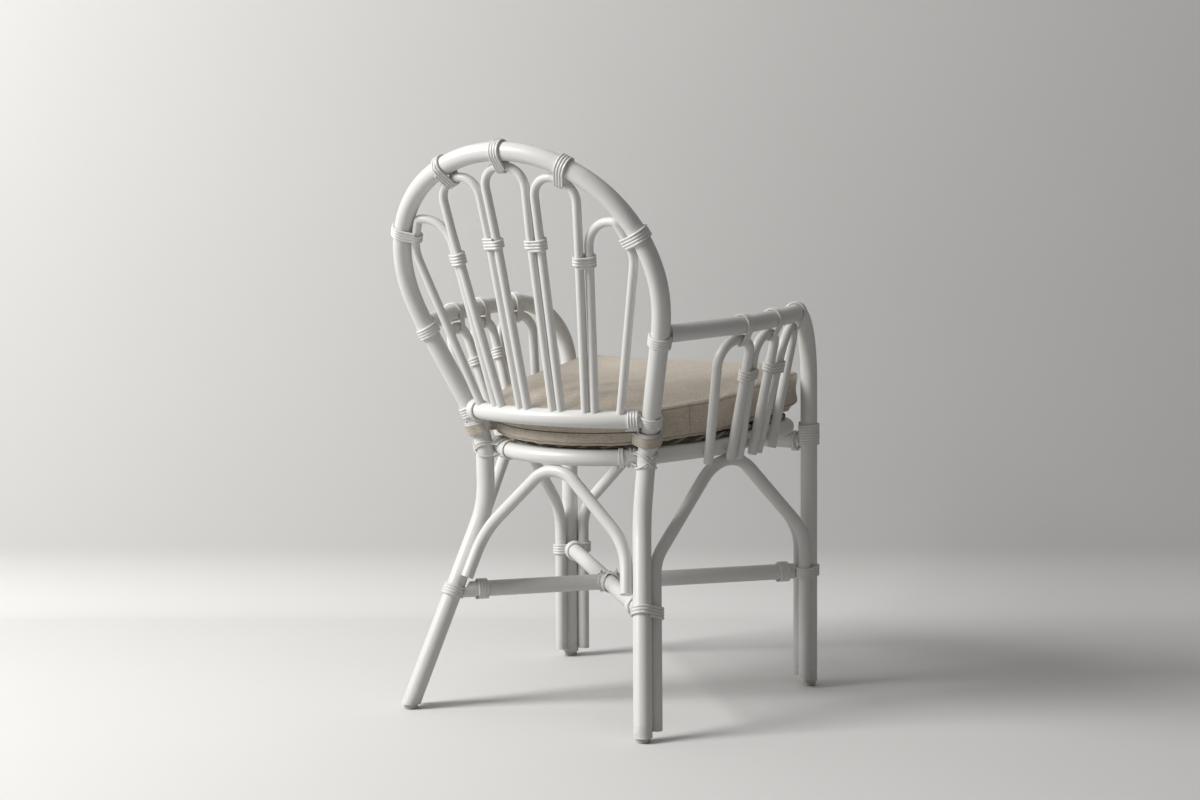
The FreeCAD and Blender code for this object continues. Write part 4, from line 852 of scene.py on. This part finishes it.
def band_frame(side):
    """The place of a band: across and rearward round the upright, and along it."""
    spot = Vector((side * BAND_SPOT.x, BAND_SPOT.y, BAND_SPOT.z))
    along = Vector((side * BAND_AXIS.x, BAND_AXIS.y, BAND_AXIS.z)).normalized()
    across = (SEAT_SIDEWAYS - along * along.x).normalized()
    behind = along.cross(across)
    turned = Matrix((across, behind, along)).transposed().to_4x4()
    droop = Matrix.Rotation(BAND_DROOP, 4, "X")
    return Matrix.Translation(spot) @ turned @ droop


def thick_strip(name, strip, thickness, material):
    """Gives a strip its thickness outward."""
    made = piece(name, strip, material)
    modified(made, "SUBSURF", levels=1, render_levels=1)
    modified(made, "SOLIDIFY", thickness=thickness, offset=1.0)
    rounding = thickness * EDGE_ROUNDING_SHARE
    modified(made, "BEVEL", width=rounding, segments=2, limit_method="ANGLE")
    baked(made)
    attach(made, "root")
    return made


# %% [markdown]
# The flap follows the loop a little lower down. One function places any point of it, so that its
# two layers and its stitches fit one another.


# %% Where a point of the flap lies
def on_band(place, side, share, height, lift):
    """A point of the flap: a share of its sweep from the free end, its height and its lift."""
    angle = FLAP_START - share * FLAP_SWEEP
    loose = FLAP_STAND_OFF * max(1 - share / FREE_SHARE, 0) ** 2
    radius = BAND_INSIDE + BAND_THICKNESS + lift + loose
    height -= FLAP_DROP * (1 - FLAP_LEVELLING * share)
    spot = Vector((side * radius * math.cos(angle), radius * math.sin(angle), height))
    return place @ spot


def looking_out(shell, centre):
    """Turns the faces of an open strip away from a point."""
    shell.normal_update()
    if sum((face.calc_center_median() - centre).dot(face.normal) for face in shell.faces) < 0:
        bmesh.ops.reverse_faces(shell, faces=shell.faces[:])
    return shell


print(f"a flap {FLAP_SWEEP * (BAND_INSIDE + BAND_THICKNESS) * 1000:.0f} mm long")

# %% [markdown]
# The loop is a short tube: a circle, extruded upward four times, and loosened a little with
# noise. The flap is a grid that the function above bends. The tab is a grid as well, and runs
# level from the loop to the nearest spot of the cushion.

# %% The loop
LOOP_SEGMENTS = 40
LOOP_ROWS = 4
LOOSENESS = 0.03
LOOSE_ACROSS, LOOSE_ALONG = 60, 40


def band_ring(place, side):
    """An open tube round the upright."""
    ring = bmesh.new()
    bmesh.ops.create_circle(ring, segments=LOOP_SEGMENTS, radius=BAND_INSIDE)
    bmesh.ops.translate(ring, verts=ring.verts[:], vec=(0, 0, -BAND_WIDTH / 2))
    edge = ring.edges[:]
    for _ in range(LOOP_ROWS):
        grown = bmesh.ops.extrude_edge_only(ring, edges=edge)["geom"]
        edge = [part for part in grown if isinstance(part, bmesh.types.BMEdge)]
        lifted = [part for part in grown if isinstance(part, bmesh.types.BMVert)]
        bmesh.ops.translate(ring, verts=lifted, vec=(0, 0, BAND_WIDTH / LOOP_ROWS))
    for vertex in ring.verts:
        x, y, z = vertex.co
        wander = Vector((x * LOOSE_ACROSS, y * LOOSE_ACROSS, z * LOOSE_ALONG + side))
        vertex.co.xy *= 1 + LOOSENESS * noise.noise(wander)
    bmesh.ops.transform(ring, matrix=place, verts=ring.verts[:])
    bmesh.ops.recalc_face_normals(ring, faces=ring.faces[:])
    return looking_out(ring, place.translation)


# %% The flap and its stitches
STITCH_LIFT = 0.0026
STITCH_INSET = 0.0030
LONG_STITCHES, LONG_PITCH_SHARE = 13, 0.062
END_STITCHES = 5
AIM_SHARE, AIM_HEIGHT = 0.03, 0.002


def flap_layer(place, side, lift, border):
    """One layer of the flap, set in from its edges by a border."""
    strip = bmesh.new()
    bmesh.ops.create_grid(strip, x_segments=40, y_segments=6, size=0.5)
    border_share = border / BAND_INSIDE / FLAP_SWEEP
    for vertex in strip.verts:
        share = border_share + (vertex.co.x + 0.5) * (1 - border_share)
        height = vertex.co.y * (BAND_WIDTH - 2 * border)
        vertex.co = on_band(place, side, share, height, lift)
    return looking_out(strip, place.translation)


def flap_stitches(place, side):
    """Points and ways of the stitches along both long edges and the free end."""
    edge_height = BAND_WIDTH / 2 - STITCH_INSET
    end_share = STITCH_INSET / BAND_INSIDE / FLAP_SWEEP
    rows = []
    for height in (-edge_height, edge_height):
        for count in range(LONG_STITCHES):
            share = end_share + count * LONG_PITCH_SHARE
            first = on_band(place, side, share, height, STITCH_LIFT)
            second = on_band(place, side, share + AIM_SHARE, height, STITCH_LIFT)
            rows.append((first, second - first))
    for count in range(END_STITCHES):
        height = -edge_height + (count + 0.5) * edge_height * 2 / END_STITCHES
        first = on_band(place, side, end_share, height, STITCH_LIFT)
        second = on_band(place, side, end_share, height + AIM_HEIGHT, STITCH_LIFT)
        rows.append((first, second - first))
    return rows


# %% The tab
TAB_WIDTH_SHARE = 0.94
TAB_TUCK = 0.003


def tab_strip(place):
    """A level strip from the loop to the cushion's nearest spot, and its length."""
    corner = shell_tree.find_nearest(place.translation)[0]
    heading = corner - place.translation
    heading = (heading - SEAT_NORMAL * heading.dot(SEAT_NORMAL)).normalized()
    start = place.translation + heading * (BAND_INSIDE + BAND_THICKNESS * 0.5)
    end = corner + heading * TAB_TUCK
    length = (end - start).length
    tab = bmesh.new()
    bmesh.ops.create_grid(tab, x_segments=6, y_segments=4, size=0.5)
    bmesh.ops.scale(tab, vec=(length, BAND_WIDTH * TAB_WIDTH_SHARE, 1), verts=tab.verts[:])
    sideways = SEAT_NORMAL.cross(heading)
    turned = Matrix((heading, SEAT_NORMAL, sideways)).transposed().to_4x4()
    bmesh.ops.transform(tab, matrix=turned, verts=tab.verts[:])
    bmesh.ops.translate(tab, verts=tab.verts[:], vec=(start + end) / 2)
    return tab, length


# %% Make both bands
FLAP_LAYERS = (
    ("flap", 0.0006, 0.0, tape, 0.0010),
    ("flap_face", 0.0017, FLAP_BORDER, band_fabric, 0.0008),
)
BAND_STITCH = 0.0022
for name, side in (("left", 1), ("right", -1)):
    place = band_frame(side)
    loop = thick_strip(f"band_{name}_loop", band_ring(place, side), BAND_THICKNESS, tape)
    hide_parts(f"cushion_tie_{name}")
    for layer, lift, border, material, thickness in FLAP_LAYERS:
        strip = flap_layer(place, side, lift, border)
        thick_strip(f"band_{name}_{layer}", strip, thickness, material)
    rows = flap_stitches(place, side)
    stitched(f"band_{name}_stitches", rows, BAND_STITCH, STITCH_RADIUS, dark_thread)
    tab, length = tab_strip(place)
    thick_strip(f"band_{name}_tab", tab, BAND_THICKNESS, band_fabric)
    print(f"{name} band: {len(rows)} stitches, a tab of {length * 1000:.0f} mm")

# %% [markdown]
# ## Stage, light and camera
# The floor and the wall are one pale sheet with a round cove between them. It is only seen
# from its front, so a camera behind the wall still sees the chair. It looks paler to the camera
# than to the light, because a white floor would throw too much light up into the shadows. The
# daylight comes from one large window on the left, so one large lamp does the same, a weak one
# overhead softens it, and the world fills the shadows.

# %% Where the camera stands
CAMERA_SPOT = Vector((-2.067, 3.2506, 0.848))
CAMERA_YAW = math.radians(212.43)
CAMERA_PITCH = math.radians(5.49)
FOCAL_PIXELS = 2461.0
PHOTO_WIDTH = 1200.0
SENSOR = 36.0
camera_data = bpy.data.cameras.new("photo_camera")
camera_data.sensor_width = SENSOR
camera_data.lens = FOCAL_PIXELS * SENSOR / PHOTO_WIDTH
camera = bpy.data.objects.new("photo_camera", camera_data)
camera.location = CAMERA_SPOT
camera.rotation_euler = (math.pi / 2 - CAMERA_PITCH, 0, CAMERA_YAW)
scene.collection.objects.link(camera)
scene.camera = camera
forward = Vector((-math.sin(CAMERA_YAW), math.cos(CAMERA_YAW), 0))
rightward = Vector((math.cos(CAMERA_YAW), math.sin(CAMERA_YAW), 0))
print(f"lens {camera_data.lens:.2f} mm, looking along {[round(c, 3) for c in forward]}")


# %% A finish that is seen from one side
BOUNCE_SHARE = 0.6


def one_sided(name, shade):
    sheet = Finish(name)
    mottle = sheet.clouds(sheet.spot(), 3.0, 3.0)
    darker = dimmed(0.97, shade)
    seen = sheet.blend(mottle, colour(*shade), darker)
    by_camera = sheet.node("LightPath", output="Is Camera Ray")
    bounced = dimmed(BOUNCE_SHARE, shade)
    inputs = {"Base Color": sheet.blend(by_camera, bounced, seen), "Roughness": 0.8}
    front = sheet.node("BsdfPrincipled", {}, inputs)
    clear = sheet.node("BsdfTransparent")
    behind = sheet.node("NewGeometry", output="Backfacing")
    sheet.node_output(sheet.node("MixShader", {}, {0: behind, 1: front, 2: clear}))
    return sheet.material


# %% A sheet for the floor and the wall
WALL_DISTANCE = 0.80
COVE = 0.12
STAGE_REACH = 7.0
WALL_HEIGHT = 4.0
sheet_mesh = bmesh.new()
profile = ((0, -STAGE_REACH, 0), (0, 0, 0), (0, 0, WALL_HEIGHT))
corners = [sheet_mesh.verts.new(spot) for spot in profile]
for start, end in zip(corners, corners[1:]):
    sheet_mesh.edges.new((start, end))
bmesh.ops.bevel(
    sheet_mesh,
    geom=[corners[1]],
    offset=COVE,
    segments=12,
    profile=0.5,
    affect="VERTICES",
    material=-1,
)
swept = bmesh.ops.extrude_edge_only(sheet_mesh, edges=sheet_mesh.edges[:])
moved = [part for part in swept["geom"] if isinstance(part, bmesh.types.BMVert)]
bmesh.ops.translate(sheet_mesh, verts=moved, vec=(2 * STAGE_REACH, 0, 0))
bmesh.ops.translate(sheet_mesh, verts=sheet_mesh.verts[:], vec=(-STAGE_REACH, WALL_DISTANCE, 0))
bmesh.ops.rotate(sheet_mesh, verts=sheet_mesh.verts[:], matrix=Matrix.Rotation(CAMERA_YAW, 3, "Z"))
bmesh.ops.recalc_face_normals(sheet_mesh, faces=sheet_mesh.faces[:])
if max(sheet_mesh.faces, key=lambda face: face.calc_area()).normal.z < 0:
    bmesh.ops.reverse_faces(sheet_mesh, faces=sheet_mesh.faces[:])
PALE = (0.84, 0.84, 0.835)
backdrop = smoothed(piece("backdrop", sheet_mesh, one_sided("pale_sheet", PALE)))
print(f"the wall stands {WALL_DISTANCE} m behind the middle of the chair")


# %% The window lamp, a weak lamp overhead and the world
AIM = Vector((0, 0, 0.45))


def lamp(name, spot, size, power, tint):
    data = bpy.data.lights.new(name, "AREA")
    data.shape = "RECTANGLE"
    data.size, data.size_y = size
    data.energy = power
    data.color = tint
    made = bpy.data.objects.new(name, data)
    made.location = spot
    made.rotation_euler = (AIM - spot).to_track_quat("-Z", "Y").to_euler()
    scene.collection.objects.link(made)


window_spot = rightward * -3.4 - forward * 1.0 + Vector((0, 0, 2.7))
lamp("window", window_spot, (1.6, 2.0), 178.0, (1.0, 0.99, 0.97))
ceiling_spot = Vector((0, 0, 3.4)) - forward * 0.3
lamp("ceiling", ceiling_spot, (2.4, 2.4), 9.0, (1.0, 1.0, 1.0))
world = bpy.data.worlds.new("room")
world.use_nodes = True
background = world.node_tree.nodes["Background"].inputs
background["Color"].default_value = colour(1.0, 0.97, 0.93)
background["Strength"].default_value = 0.12
scene.world = world
scene.view_settings.view_transform = "Standard"
print("two lamps and a pale world")
